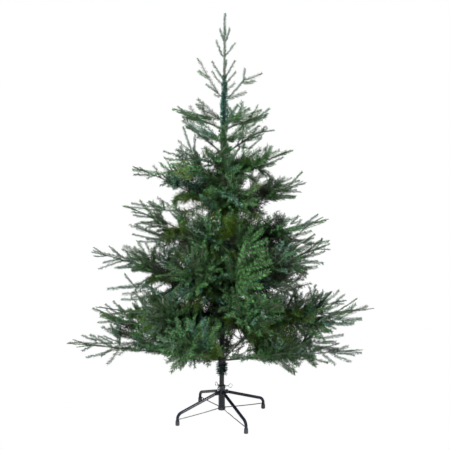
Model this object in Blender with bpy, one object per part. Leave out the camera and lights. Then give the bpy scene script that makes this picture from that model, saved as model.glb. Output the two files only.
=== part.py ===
"""An artificial Christmas tree on its steel stand, as separate named solids.

A slim steel pole stands in a sleeve that four bent tube legs carry. Six bare wire boughs leave
the lowest collar, and masses of needle sprays stand round the pole in eight tiers, with a leader
on the pole's tip. Metres, +Z up, front at -Y. The origin is on the floor under the pole.
"""

import math
import random
from collections import namedtuple

import bmesh
import bpy
from mathutils import Matrix, Quaternion, Vector

# ---------------------------------------------------------------- driving sizes, in metres
FIT_GAP = 0.0003  # kept between solids that rest on each other
CREASE_ANGLE = 45.0  # degrees
TREE_HEIGHT = 1.80

POLE_FOOT = 0.0468  # where the pole stands on the base cap's plug
POLE_JOINT = 0.965  # where the upper pole plugs into the lower one
POLE_WRAPPED = 1.20  # from here up the pole is a wire core
POLE_TOP = 1.43  # where the leader begins
LOWER_POLE_RADIUS = 0.0107
UPPER_POLE_RADIUS = 0.0082
WIRE_CORE_RADIUS = 0.0058
POLE_TIP_RADIUS = 0.0046
POLE_SIDES = 12
LEAN_PER_METRE = 0.009  # the pole leans to the right by this much for each metre of height
LEAN_FROM = 0.142  # the height of the clamping bolts, about which the pole leans
COLLAR_RADIUS = 0.0170
COLLAR_HALF_HEIGHT = 0.011
POLE_STEP = 0.004  # height over which the pole changes from one radius to the next

SLEEVE_RADIUS = 0.0150
SLEEVE_BORE = 0.0137
SLEEVE_BOTTOM = 0.0388
SLEEVE_TOP = 0.1385
SLEEVE_SIDES = 16

CAP_RADIUS = 0.0168  # the base cap and the top ring that close the sleeve
CAP_GROOVE_RADIUS = 0.0156
CAP_PLUG_RADIUS = 0.0131
CAP_BOTTOM = 0.0345
CAP_RIM = 0.0475
RING_BORE = 0.0114
RING_BOTTOM = 0.1345
RING_TOP = 0.1478

LEG_COUNT = 4
LEG_TURN = 28.4  # azimuth of the first leg, in degrees
LEG_RADIUS = 0.0070
LEG_REACH = 0.222  # from the pole's axis to each foot
LEG_SLOPE = 18.5  # degrees below the horizontal
LEG_BEND = 0.027  # radius of the bend above each foot
LEG_BEND_STEPS = 5
LEG_START = 0.037  # where the round tube begins, outside its flattened end
PIVOT_REACH = 0.0250
PIVOT_HEIGHT = 0.1143
PIVOT_RADIUS = 0.0020
PIVOT_HEAD_RADIUS = 0.0042
PIVOT_HEAD_LENGTH = 0.0022
TONGUE_THICK = 0.0060
TONGUE_TALL = 0.0110
TONGUE_INNER = 0.0085  # from the pivot to the flattened end's inner edge
CHEEK_THICK = 0.0018
CHEEK_TALL = 0.0175
CHEEK_OUTER = 0.0325  # from the axis to the cheeks' outer edge

FOOT_CAP_HEIGHT = 0.0210
FOOT_CAP_SHOULDER = 0.0095  # below here the cap has its full radius
FOOT_CAP_FLOOR = 0.0042
FOOT_CAP_RADIUS = 0.0095
FOOT_CAP_NECK = 0.0089
FOOT_CAP_BORE = 0.00755
FOOT_CAP_CHAMFER = 0.0012
FOOT_CAP_SIDES = 10

BRACE_RADIUS = 0.0021
BRACE_LEG_HEIGHT = 0.0262
BRACE_SLEEVE_HEIGHT = 0.0420
BRACE_SAG = 0.0015
BRACE_STEPS = 4

EYE_BOLT_COUNT = 3
EYE_BOLT_TURN = 8.0  # azimuth of the first eye bolt, in degrees
EYE_BOLT_HEIGHT = 0.1430
SHANK_RADIUS = 0.0022
SHANK_HOLE_RADIUS = 0.0027
SHANK_INNER = 0.0110
EYE_REACH = 0.0405  # from the axis to the middle of the eye
EYE_RADIUS = 0.0085
EYE_WIRE_RADIUS = 0.0018
EYE_STEPS = 12
EYE_WIRE_SIDES = 6

# One row per tier of boughs. The collar is the height at the pole. To the right (+X), behind, to the
# left and in front, a tip is given by its reach and its height. Behind and front count the boughs
# between the right and left ones. Turn swings all of them, in degrees, and swing only the front
# ones, while the ones behind swing half as far the other way. Sprays and length are the number on
# each stem and how long the longest are.
Tip = namedtuple("Tip", "reach height")
Tier = namedtuple("Tier", "collar right rear left near behind front turn swing sprays length")
TIERS = (
    Tier(
        0.262, Tip(0.665, 0.285), Tip(0.60, 0.33), Tip(0.690, 0.365), Tip(0.61, 0.535),
        2, 2, 8, 0, 11, 0.21,
    ),
    Tier(
        0.410, Tip(0.670, 0.525), Tip(0.58, 0.54), Tip(0.600, 0.485), Tip(0.60, 0.665),
        1, 2, -10, 0, 11, 0.22,
    ),
    Tier(
        0.570, Tip(0.490, 0.790), Tip(0.52, 0.69), Tip(0.580, 0.770), Tip(0.52, 0.770),
        1, 2, 7, 0, 11, 0.23,
    ),
    Tier(
        0.760, Tip(0.465, 0.915), Tip(0.43, 0.88), Tip(0.450, 0.960), Tip(0.42, 0.900),
        1, 1, -9, -5, 10, 0.22,
    ),
    Tier(
        0.940, Tip(0.380, 1.068), Tip(0.35, 1.06), Tip(0.400, 1.145), Tip(0.35, 1.080),
        1, 1, 10, 0, 9, 0.20,
    ),
    Tier(
        1.070, Tip(0.292, 1.208), Tip(0.27, 1.20), Tip(0.262, 1.190), Tip(0.27, 1.200),
        1, 1, -12, 0, 8, 0.17,
    ),
    Tier(
        1.190, Tip(0.200, 1.308), Tip(0.20, 1.32), Tip(0.170, 1.318), Tip(0.20, 1.310),
        0, 1, 14, -15, 7, 0.14,
    ),
    Tier(
        1.300, Tip(0.200, 1.365), Tip(0.19, 1.40), Tip(0.218, 1.380), Tip(0.18, 1.400),
        1, 0, -16, 0, 7, 0.13,
    ),
)
COLLARED_TIERS = 4  # the tiers whose boughs hang in a collar
BOUGHED_TIERS = 1  # the tiers whose boughs show bare
BARE_REACH = 0.165  # where the bare boughs enter their masses
BOUGH_RADIUS = 0.0032
BOUGH_TIP_RADIUS = 0.0025
HOOK = 0.006  # length of the level end by which a bough hangs in the collar
ARCH = 0.25  # how much steeper than straight a bough leaves the pole
SHORTFALL = 0.10  # share by which the boughs behind and in front fall short of the reach, at most
ROOF = 0.115  # room above the last tier's stems, and floor under the first one's
FLOOR = 0.062
KEEP_OUT = 0.0025  # kept between a mass's space and what the space holds

STEM_RADIUS = 0.0060
STEM_TIP_RADIUS = 0.0042
STEM_STEPS = 4
STEM_END = 0.80  # share of the reach where the stem passes into its last spray
FIRST_SPRAY = 0.20  # shares of the reach between which sprays leave the stem
LAST_SPRAY = 0.76
LOOK_AHEAD = 0.05  # share of the reach over which a stem's direction is taken
GOLDEN_ANGLE = 137.5  # degrees that each spray is further round the stem than the one before it
FLATNESS = 0.88  # how much less the sprays rise and hang than they spread
AROUND_SPREAD = 14.0  # and how far it strays from that, either way
OPENING = 66.0  # degrees between the stem and a spray at the pole
TIP_OPENING = 24.0  # and at the tip
OPENING_SPREAD = 6.0
SPRAY_HALF_WIDTH = 0.086  # of a spray by the pole, where the tiers' sprays are longest
SPRAY_TIP_HALF_WIDTH = 0.023  # of one by the tip
BUSHY_SHARE = 0.36  # share of the reach out to which sprays are short of needles but broad
SPRAY_CORE = 0.0048
SPRAY_NECK = 0.0016
SPRAY_TAPER = 0.6
LEAN = 1.05  # how far along its segment a needle point leans, and along the last segment
TIP_LEAN = 0.6
NECK_SHARE = 0.20
SHORTENING = 0.55  # share by which a spray at the tip is shorter than one at the pole
SHORTEST, LONGEST = 0.88, 1.08  # and how much its length varies besides
SHRINK = 0.85  # a spray that leaves its mass's space is tried again this much shorter
SHRINK_TRIES = 6
SEED = 2024

# The leader's pairs of twigs: the height, azimuth, length and rise above the horizontal in degrees.
LEADER_TWIGS = (
    (1.440, 6, 0.190, 33),
    (1.444, 332, 0.100, 18),
    (1.448, 190, 0.085, 38),
    (1.456, 174, 0.192, 54),
    (1.475, 98, 0.130, 42),
    (1.495, 280, 0.120, 42),
    (1.515, 25, 0.090, 44),
    (1.548, 205, 0.075, 52),
    (1.556, 350, 0.085, 48),
    (1.612, 160, 0.078, 68),
    (1.622, 12, 0.082, 52),
    (1.684, 195, 0.058, 62),
    (1.690, 350, 0.060, 58),
)
LEADER_STEM_TOP = 1.735
LEADER_STEM_RADIUS = 0.0034
LEADER_HALF_WIDTH = 0.015
LEADER_SCALE = 0.7
LEADER_FULL_LENGTH = 0.09  # twigs shorter than this are narrower too
SPIKE_SUNK = 0.010  # how deep the top spike's root is in the stem


# ---------------------------------------------------------------- materials
def material(name, red, green, blue, roughness, metallic=0.0):
    """A Principled BSDF of one colour."""
    made = bpy.data.materials.new(name)
    made.use_nodes = True
    shader = made.node_tree.nodes["Principled BSDF"]
    shader.inputs["Base Color"].default_value = (red, green, blue, 1.0)
    shader.inputs["Roughness"].default_value = roughness
    shader.inputs["Metallic"].default_value = metallic
    return made


def make_materials():
    return {
        "pole": material("green_black_enamel", 0.025, 0.032, 0.034, 0.45, 0.2),
        "stand": material("black_enamel", 0.016, 0.019, 0.026, 0.35, 0.2),
        "cap": material("black_moulded_plastic", 0.018, 0.018, 0.024, 0.55),
        "zinc": material("zinc_plated_steel", 0.60, 0.60, 0.61, 0.30, 1.0),
        "bough": material("wrapped_wire", 0.045, 0.040, 0.025, 0.75),
        "needles": material("moulded_needles", 0.035, 0.105, 0.050, 0.55),
        "leader": material("upper_needles", 0.045, 0.130, 0.085, 0.55),
    }


# ---------------------------------------------------------------- making shapes
def place(obj, paint, parent=None):
    """Links a new object, gives it its material and hangs it on its parent."""
    if obj.name not in bpy.context.scene.collection.objects:
        bpy.context.scene.collection.objects.link(obj)
    obj.data.materials.clear()
    obj.data.materials.append(paint)
    obj.parent = parent
    return obj


def empty(name, location, turn=0.0):
    """An empty at a point, turned about the vertical by so many degrees, to hang pieces on."""
    held = bpy.data.objects.new(name, None)
    held.location = location
    held.rotation_euler = (0, 0, math.radians(turn))
    bpy.context.scene.collection.objects.link(held)
    return held


def mesh_object(name, points, faces):
    mesh = bpy.data.meshes.new(name)
    mesh.from_pydata([tuple(p) for p in points], [], faces)
    mesh.update()
    return bpy.data.objects.new(name, mesh)


def turned(name, profile, sides):
    """A body of revolution: the profile's (radius, height) pairs go over the top and down the outside."""
    points = [(radius, 0, height) for radius, height in profile]
    on_axis = profile[0][0] == 0 and profile[-1][0] == 0
    edges = [(i, i + 1) for i in range(len(points) - 1)]
    if not on_axis:
        edges.append((len(points) - 1, 0))
    mesh = bpy.data.meshes.new(name)
    mesh.from_pydata(points, edges, [])
    obj = bpy.data.objects.new(name, mesh)
    spin = obj.modifiers.new("turn", "SCREW")
    spin.steps = spin.render_steps = sides
    spin.use_merge_vertices = True
    spin.merge_threshold = 0.00001
    spin.use_smooth_shade = True
    return obj


def wire(name, points, radius, end_radius=None, resolution=2):
    """A round wire along points as a curve with a bevel, tapering to the end radius."""
    curve = bpy.data.curves.new(name, "CURVE")
    curve.dimensions = "3D"
    curve.bevel_depth = radius
    curve.bevel_resolution = resolution
    curve.use_fill_caps = True
    line = curve.splines.new("POLY")
    line.points.add(len(points) - 1)
    last = len(points) - 1
    for i, point in enumerate(points):
        line.points[i].co = (*point, 1.0)
        line.points[i].radius = 1 + (((end_radius or radius) / radius) - 1) * i / last
    line.use_smooth = True
    return bpy.data.objects.new(name, curve)


def as_mesh(obj):
    """A mesh object with what the viewport shows of obj, which is then removed."""
    scene = bpy.context.scene.collection
    if obj.name not in scene.objects:
        scene.objects.link(obj)
    bpy.context.view_layer.update()
    shown = obj.evaluated_get(bpy.context.evaluated_depsgraph_get())
    mesh = bpy.data.meshes.new_from_object(shown)
    name, world = obj.name, obj.matrix_world.copy()
    bpy.data.objects.remove(obj)
    made = bpy.data.objects.new(name, mesh)
    mesh.name = name
    made.matrix_world = world
    return made


def box(name, size, centre, slope=0.0):
    """A box of the given size, tipped down towards +X by a slope in degrees, about its centre."""
    mesh = bpy.data.meshes.new(name)
    shape = bmesh.new()
    bmesh.ops.create_cube(shape, size=1.0)
    bmesh.ops.scale(shape, vec=size, verts=shape.verts)
    tilt = Matrix.Rotation(math.radians(slope), 3, "Y")
    bmesh.ops.rotate(shape, cent=(0, 0, 0), matrix=tilt, verts=shape.verts)
    bmesh.ops.translate(shape, vec=centre, verts=shape.verts)
    shape.to_mesh(mesh)
    shape.free()
    return bpy.data.objects.new(name, mesh)


def rod(name, radius, length, centre, direction, sides=12):
    """A straight cylinder along a direction, about its centre."""
    mesh = bpy.data.meshes.new(name)
    shape = bmesh.new()
    bmesh.ops.create_cone(
        shape, cap_ends=True, segments=sides, radius1=radius, radius2=radius, depth=length
    )
    turn = Vector((0, 0, 1)).rotation_difference(Vector(direction)).to_matrix()
    bmesh.ops.rotate(shape, cent=(0, 0, 0), matrix=turn, verts=shape.verts)
    bmesh.ops.translate(shape, vec=centre, verts=shape.verts)
    shape.to_mesh(mesh)
    shape.free()
    return bpy.data.objects.new(name, mesh)


def combined(obj, others, operation, solver="EXACT"):
    """The mesh of obj joined with, or cut by, every other object in one Boolean."""
    scene = bpy.context.scene.collection
    tools = bpy.data.collections.new("tools")
    scene.children.link(tools)
    for other in others:
        tools.objects.link(other)
    boolean = obj.modifiers.new(operation.lower(), "BOOLEAN")
    boolean.operation = operation
    boolean.operand_type = "COLLECTION"
    boolean.collection = tools
    boolean.solver = solver
    made = as_mesh(obj)
    for other in others:
        bpy.data.objects.remove(other)
    bpy.data.collections.remove(tools)
    return made


def smooth(obj):
    """Smooth shading, with an edge left sharp where the faces turn by more than the crease angle."""
    obj.data.shade_smooth()
    obj.data.set_sharp_from_angle(angle=math.radians(CREASE_ANGLE))


def polar(radius, azimuth, height):
    """A point from its radius, its azimuth in degrees and its height."""
    angle = math.radians(azimuth)
    return Vector((radius * math.cos(angle), radius * math.sin(angle), height))


# ---------------------------------------------------------------- the pole
def pole_axis(height):
    """How far to the right the leaning pole's axis is at a height."""
    return LEAN_PER_METRE * (height - LEAN_FROM)


def pole_radius(height):
    if height < POLE_JOINT:
        return LOWER_POLE_RADIUS
    if height < POLE_WRAPPED:
        return UPPER_POLE_RADIUS
    share = (height - POLE_WRAPPED) / (POLE_TOP - POLE_WRAPPED)
    return WIRE_CORE_RADIUS + (POLE_TIP_RADIUS - WIRE_CORE_RADIUS) * min(share, 1)


def make_pole(paint):
    """The pole with its steps and the collars that the lower tiers' boughs hook into."""
    outline = [
        (0, POLE_TOP),
        (POLE_TIP_RADIUS, POLE_TOP),
        (WIRE_CORE_RADIUS, POLE_WRAPPED + POLE_STEP),
        (UPPER_POLE_RADIUS, POLE_WRAPPED),
        (UPPER_POLE_RADIUS, POLE_JOINT + POLE_STEP),
        (LOWER_POLE_RADIUS, POLE_JOINT),
        (LOWER_POLE_RADIUS, POLE_FOOT),
        (0, POLE_FOOT),
    ]
    for tier in TIERS[:COLLARED_TIERS]:
        radius = pole_radius(tier.collar)
        top, bottom = tier.collar + COLLAR_HALF_HEIGHT, tier.collar - COLLAR_HALF_HEIGHT
        outline += [
            (radius, top + POLE_STEP),
            (COLLAR_RADIUS, top),
            (COLLAR_RADIUS, bottom),
            (radius, bottom - POLE_STEP),
        ]
    outline.sort(key=lambda corner: -corner[1])
    outline[0], outline[1] = sorted(outline[:2])
    outline[-1], outline[-2] = sorted(outline[-2:])
    about = Vector((0, 0, LEAN_FROM))
    pole = turned("pole", [(r, h - LEAN_FROM) for r, h in outline], POLE_SIDES)
    pole.location = about
    pole.rotation_euler = (0, math.atan(LEAN_PER_METRE), 0)
    return place(pole, paint)


# ---------------------------------------------------------------- the stand
def leg_line():
    """The leg's centre line as (reach, height) points: a slope, a bend and a short upright foot."""
    slope = math.radians(LEG_SLOPE)
    fall = math.tan(slope)
    corner_height = PIVOT_HEIGHT - fall * (LEG_REACH - PIVOT_REACH)
    cut = LEG_BEND * math.tan((math.pi / 2 - slope) / 2)
    centre = (LEG_REACH - LEG_BEND, corner_height - cut)
    line = [(LEG_START, PIVOT_HEIGHT - fall * (LEG_START - PIVOT_REACH))]
    for i in range(LEG_BEND_STEPS + 1):
        angle = (math.pi / 2 - slope) * (1 - i / LEG_BEND_STEPS)
        line.append((centre[0] + LEG_BEND * math.cos(angle), centre[1] + LEG_BEND * math.sin(angle)))
    line.append((LEG_REACH, FOOT_CAP_FLOOR + FIT_GAP))
    return line


def make_leg(name, paint, hanger):
    """One bent tube leg, flattened at its inner end and drilled there for the pivot."""
    tube = as_mesh(wire(name, [(r, 0, h) for r, h in leg_line()], LEG_RADIUS))
    slope = math.radians(LEG_SLOPE)
    length = TONGUE_INNER + (LEG_START - PIVOT_REACH) / math.cos(slope) + LEG_RADIUS
    shift = length / 2 - TONGUE_INNER
    centre = (PIVOT_REACH + shift * math.cos(slope), 0, PIVOT_HEIGHT - shift * math.sin(slope))
    tongue = box("tongue", (length, TONGUE_THICK, TONGUE_TALL), centre, LEG_SLOPE)
    leg = combined(tube, [tongue], "UNION")
    drill = rod(
        "drill", PIVOT_RADIUS + FIT_GAP, 3 * TONGUE_THICK, (PIVOT_REACH, 0, PIVOT_HEIGHT), (0, 1, 0)
    )
    leg = combined(leg, [drill], "DIFFERENCE")
    smooth(leg)
    return place(leg, paint, hanger)


def make_sleeve(paint):
    """The upright sleeve with a pair of cheeks and a riveted pivot for each leg."""
    sleeve = turned(
        "stand_sleeve",
        [
            (SLEEVE_RADIUS, SLEEVE_TOP),
            (SLEEVE_RADIUS, SLEEVE_BOTTOM),
            (SLEEVE_BORE, SLEEVE_BOTTOM),
            (SLEEVE_BORE, SLEEVE_TOP),
        ],
        SLEEVE_SIDES,
    )
    half_gap = TONGUE_THICK / 2 + FIT_GAP
    inner = (SLEEVE_RADIUS + SLEEVE_BORE) / 2
    fittings = []
    for i in range(LEG_COUNT):
        turn = Matrix.Rotation(math.radians(LEG_TURN + 360 / LEG_COUNT * i), 4, "Z")
        shapes = []
        for side in (-1, 1):
            shapes.append(
                box(
                    "cheek",
                    (CHEEK_OUTER - inner, CHEEK_THICK, CHEEK_TALL),
                    ((CHEEK_OUTER + inner) / 2, side * (half_gap + CHEEK_THICK / 2), PIVOT_HEIGHT),
                )
            )
            reach = half_gap + CHEEK_THICK + PIVOT_HEAD_LENGTH / 2 - FIT_GAP
            shapes.append(
                rod(
                    "pivot_head",
                    PIVOT_HEAD_RADIUS,
                    PIVOT_HEAD_LENGTH,
                    (PIVOT_REACH, side * reach, PIVOT_HEIGHT),
                    (0, 1, 0),
                    sides=8,
                )
            )
        shapes.append(
            rod(
                "pivot",
                PIVOT_RADIUS,
                2 * (half_gap + CHEEK_THICK),
                (PIVOT_REACH, 0, PIVOT_HEIGHT),
                (0, 1, 0),
                sides=8,
            )
        )
        for shape in shapes:
            shape.data.transform(turn)
        fittings += shapes
    sleeve = combined(sleeve, fittings, "UNION")
    return place(sleeve, paint)


def make_base_cap(paint):
    """The plastic cap under the sleeve, with the plug that the pole stands on."""
    groove = SLEEVE_BOTTOM - FIT_GAP
    cap = turned(
        "stand_base_cap",
        [
            (0, POLE_FOOT - FIT_GAP),
            (CAP_PLUG_RADIUS, POLE_FOOT - FIT_GAP),
            (CAP_PLUG_RADIUS, groove),
            (CAP_GROOVE_RADIUS, groove),
            (CAP_GROOVE_RADIUS, CAP_RIM),
            (CAP_RADIUS, CAP_RIM),
            (CAP_RADIUS, CAP_BOTTOM),
            (0, CAP_BOTTOM),
        ],
        SLEEVE_SIDES,
    )
    return place(cap, paint)


def eye_bolt_azimuths():
    return [EYE_BOLT_TURN + 360 / EYE_BOLT_COUNT * i for i in range(EYE_BOLT_COUNT)]


def make_top_ring(paint):
    """The plastic ring over the sleeve's top, drilled for the eye bolts."""
    seat = SLEEVE_TOP + FIT_GAP
    ring = turned(
        "stand_top_ring",
        [
            (CAP_RADIUS, RING_TOP),
            (CAP_RADIUS, RING_BOTTOM),
            (CAP_GROOVE_RADIUS, RING_BOTTOM),
            (CAP_GROOVE_RADIUS, seat),
            (RING_BORE, seat),
            (RING_BORE, RING_TOP),
        ],
        SLEEVE_SIDES,
    )
    middle, length = (RING_BORE + CAP_RADIUS) / 2, 2 * (CAP_RADIUS - RING_BORE)
    drills = [
        rod("drill", SHANK_HOLE_RADIUS, length, polar(middle, a, EYE_BOLT_HEIGHT), polar(1, a, 0))
        for a in eye_bolt_azimuths()
    ]
    return place(combined(ring, drills, "DIFFERENCE"), paint)


def make_eye_bolt(name, azimuth, paint):
    """A shank that clamps the pole, with a round eye to turn it by."""
    shank_end = EYE_REACH - EYE_RADIUS
    shank = rod(
        name,
        SHANK_RADIUS,
        shank_end - SHANK_INNER,
        ((shank_end + SHANK_INNER) / 2, 0, 0),
        (1, 0, 0),
        sides=10,
    )
    points, faces = [], []
    for i in range(EYE_STEPS):
        around = 2 * math.pi * i / EYE_STEPS
        for j in range(EYE_WIRE_SIDES):
            across = 2 * math.pi * j / EYE_WIRE_SIDES
            reach = EYE_RADIUS + EYE_WIRE_RADIUS * math.cos(across)
            points.append(
                (
                    EYE_REACH + reach * math.cos(around),
                    EYE_WIRE_RADIUS * math.sin(across),
                    reach * math.sin(around),
                )
            )
            near, far = i * EYE_WIRE_SIDES, (i + 1) % EYE_STEPS * EYE_WIRE_SIDES
            beside = (j + 1) % EYE_WIRE_SIDES
            faces.append((near + j, far + j, far + beside, near + beside))
    eye = mesh_object("eye", points, faces)
    bolt = combined(shank, [eye], "UNION")
    smooth(bolt)
    hanger = empty(name + "_seat", (0, 0, EYE_BOLT_HEIGHT), azimuth)
    return place(bolt, paint, hanger)


def make_foot_cap(name, paint, hanger):
    """The moulded cap on a leg's end, flat underneath."""
    cap = turned(
        name,
        [
            (0, FOOT_CAP_FLOOR),
            (FOOT_CAP_BORE, FOOT_CAP_FLOOR),
            (FOOT_CAP_BORE, FOOT_CAP_HEIGHT),
            (FOOT_CAP_NECK, FOOT_CAP_HEIGHT),
            (FOOT_CAP_RADIUS, FOOT_CAP_SHOULDER),
            (FOOT_CAP_RADIUS, FOOT_CAP_CHAMFER),
            (FOOT_CAP_RADIUS - FOOT_CAP_CHAMFER, 0),
            (0, 0),
        ],
        FOOT_CAP_SIDES,
    )
    cap.location = (LEG_REACH, 0, 0)
    return place(cap, paint, hanger)


def make_brace(name, paint, hanger):
    """The thin wire from the foot of the sleeve to the upright part of a leg."""
    start = CAP_RADIUS + FIT_GAP
    end = LEG_REACH - LEG_RADIUS - FIT_GAP
    points = []
    for i in range(BRACE_STEPS + 1):
        share = i / BRACE_STEPS
        sag = 4 * BRACE_SAG * share * (1 - share)
        height = BRACE_SLEEVE_HEIGHT + (BRACE_LEG_HEIGHT - BRACE_SLEEVE_HEIGHT) * share
        points.append((start + (end - start) * share, 0, height - sag))
    return place(wire(name, points, BRACE_RADIUS, resolution=1), paint, hanger)


def make_stand(paints):
    make_sleeve(paints["stand"])
    make_base_cap(paints["cap"])
    make_top_ring(paints["cap"])
    for i in range(LEG_COUNT):
        hanger = empty(f"leg_seat_{i + 1}", (0, 0, 0), LEG_TURN + 360 / LEG_COUNT * i)
        make_leg(f"leg_{i + 1}", paints["stand"], hanger)
        make_foot_cap(f"foot_cap_{i + 1}", paints["cap"], hanger)
        make_brace(f"brace_{i + 1}", paints["stand"], hanger)
    for i, azimuth in enumerate(eye_bolt_azimuths()):
        make_eye_bolt(f"eye_bolt_{i + 1}", azimuth, paints["zinc"])


# ---------------------------------------------------------------- how the boughs are laid out
def tip_at(tier, azimuth):
    """The tip's reach and height at an azimuth, mixed from the two of the four sides it is between."""
    angle = math.radians(azimuth)
    across, along = math.cos(angle), math.sin(angle)
    side = tier.right if across > 0 else tier.left
    end = tier.rear if along > 0 else tier.near
    return Tip(*(across**2 * a + along**2 * b for a, b in zip(side, end)))


def stem_height(tier, azimuth, radius):
    """Height of the tier's stems above the floor: an arch from the collar out to the tips."""
    tip = tip_at(tier, azimuth)
    along = radius / tip.reach
    bow = (1 + ARCH) * along - ARCH * along**2 if along < 1 else 1 + (1 - ARCH) * (along - 1)
    return tier.collar + (tip.height - tier.collar) * bow


def bough_azimuths(tier):
    """The right and left boughs, with the ones behind and in front spread between them."""
    found = [tier.turn, 180 + tier.turn]
    for first, count, swing in ((0, tier.behind, -tier.swing / 2), (180, tier.front, tier.swing)):
        for i in range(count):
            found.append(tier.turn + first + 180 * (i + 1) / (count + 1) + swing)
    return sorted(found)


Space = namedtuple("Space", "tier below above left_edge right_edge")


def is_inside(space, point, margin):
    """True if a ball of that margin about the point keeps inside the mass's own space."""
    offset = Vector((point.x - pole_axis(point.z), point.y, 0))
    radius = offset.length
    if radius < pole_radius(point.z) + margin:
        return False
    azimuth = math.degrees(math.atan2(offset.y, offset.x))
    for edge, turn in ((space.left_edge, -1), (space.right_edge, 1)):
        away = math.radians(azimuth - edge) * turn
        if radius * math.sin(away) < margin and math.cos(away) > 0:
            return False
    height = point.z
    low = floor_height(space, azimuth, radius)
    high = roof_height(space, azimuth, radius)
    return low + margin < height < high - margin


def floor_height(space, azimuth, radius):
    own = stem_height(space.tier, azimuth, radius)
    if space.below is None:
        return own - FLOOR
    return (own + stem_height(space.below, azimuth, radius)) / 2


def roof_height(space, azimuth, radius):
    own = stem_height(space.tier, azimuth, radius)
    if space.above is None:
        return own + ROOF
    return (own + stem_height(space.above, azimuth, radius)) / 2


def bough_spaces():
    """For each tier, the (azimuth, reach, space) of each of its boughs."""
    dice = random.Random(SEED)
    tiers = []
    for number, tier in enumerate(TIERS):
        below = TIERS[number - 1] if number else None
        above = TIERS[number + 1] if number + 1 < len(TIERS) else None
        azimuths = bough_azimuths(tier)
        boughs = []
        for i, azimuth in enumerate(azimuths):
            before = azimuths[i - 1] - (360 if i == 0 else 0)
            after = azimuths[(i + 1) % len(azimuths)] + (360 if i + 1 == len(azimuths) else 0)
            is_side = any(abs(azimuth - tier.turn - side) < 0.01 for side in (0, 180))
            short = 0 if is_side else dice.uniform(0, SHORTFALL)
            space = Space(tier, below, above, (azimuth + after) / 2, (azimuth + before) / 2)
            boughs.append((azimuth, tip_at(tier, azimuth).reach * (1 - short), space))
        tiers.append(boughs)
    return tiers


# ---------------------------------------------------------------- masses of needle sprays
def stem_point(tier, azimuth, reach, share):
    radius = reach * share
    level = stem_height(tier, azimuth, radius)
    return polar(radius, azimuth, level) + Vector((pole_axis(level), 0, 0))


Spray = namedtuple("Spray", "root tip half_width roll segments scale")


def prism_frame(direction, roll):
    """Two directions across a spray or stem, rolled about it by an angle in degrees."""
    across = direction.cross(Vector((0, 0, 1)))
    if across.length < 0.01:
        across = direction.cross(Vector((0, 1, 0)))
    across = (Quaternion(direction, math.radians(roll)) @ across).normalized()
    return across, direction.cross(across)


def three_sided(centre, radius, across, up):
    """The corners of a triangle about a point."""
    return [
        centre + radius * (across * math.cos(angle) + up * math.sin(angle))
        for angle in (math.pi / 2, math.pi * 7 / 6, math.pi * 11 / 6)
    ]


def spray_frame(spray):
    return prism_frame((spray.tip - spray.root).normalized(), spray.roll)


def segment_shares(spray):
    """Shares of the spray's length at which its segments begin and end."""
    count = spray.segments
    return [NECK_SHARE + (1 - NECK_SHARE) * i / count for i in range(count + 1)]


def needle_points(spray):
    """The points that lean out and forward, one on each side of each segment."""
    across, up = spray_frame(spray)
    shares = segment_shares(spray)
    points = []
    for i in range(spray.segments):
        lean = TIP_LEAN if i + 1 == spray.segments else LEAN
        middle = spray.root.lerp(spray.tip, shares[i] + (shares[i + 1] - shares[i]) * lean)
        bulge = spray.half_width * (1 - SPRAY_TAPER * i / spray.segments)
        opposite = three_sided(middle, -bulge, across, up)
        points += [opposite[2], opposite[0], opposite[1]]
    return points


def fitted(space, spray):
    """The spray at its longest that keeps inside the space, or None."""
    for _ in range(SHRINK_TRIES):
        if all(is_inside(space, point, KEEP_OUT) for point in [spray.tip] + needle_points(spray)):
            return spray
        tip = spray.root.lerp(spray.tip, SHRINK)
        spray = spray._replace(tip=tip, half_width=spray.half_width * SHRINK)
    return None


def sprays_of(space, azimuth, reach, start, dice):
    """The seeded rule: a last spray at the stem's end, and others wound round the stem."""
    tier = space.tier
    last_root = stem_point(tier, azimuth, reach, STEM_END)
    tip = stem_point(tier, azimuth, reach, 1.0)
    scale = tier_scale(tier)
    found = [Spray(last_root, tip, half_width(tier, 1.1), 0.0, 3, scale)]
    around = dice.uniform(0, 360)
    for i in range(tier.sprays):
        share = start + (LAST_SPRAY - start) * i / (tier.sprays - 1)
        root = stem_point(tier, azimuth, reach, share)
        ahead = (stem_point(tier, azimuth, reach, share + LOOK_AHEAD) - root).normalized()
        across = ahead.cross(Vector((0, 0, 1))).normalized()
        up = across.cross(ahead)
        around += GOLDEN_ANGLE + dice.uniform(-AROUND_SPREAD, AROUND_SPREAD)
        turn = math.radians(around)
        opening = OPENING + (TIP_OPENING - OPENING) * share
        opening = math.radians(opening + dice.uniform(-OPENING_SPREAD, OPENING_SPREAD))
        outward = across * math.sin(turn) + up * math.cos(turn) * FLATNESS
        direction = (ahead * math.cos(opening) + outward * math.sin(opening)).normalized()
        length = tier.length * (1 - SHORTENING * share) * dice.uniform(SHORTEST, LONGEST)
        end = root + direction * length
        segments = 1 if share < BUSHY_SHARE else 2
        spray = Spray(root, end, half_width(tier, share), dice.uniform(0, 120), segments, scale)
        found.append(fitted(space, spray))
    return [spray for spray in found if spray]


def tier_scale(tier):
    """How stout a tier's stems and sprays are, against the lowest tier's."""
    return tier.length / TIERS[0].length


def half_width(tier, share):
    wide = SPRAY_HALF_WIDTH + (SPRAY_TIP_HALF_WIDTH - SPRAY_HALF_WIDTH) * share
    return wide * tier_scale(tier)


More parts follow.
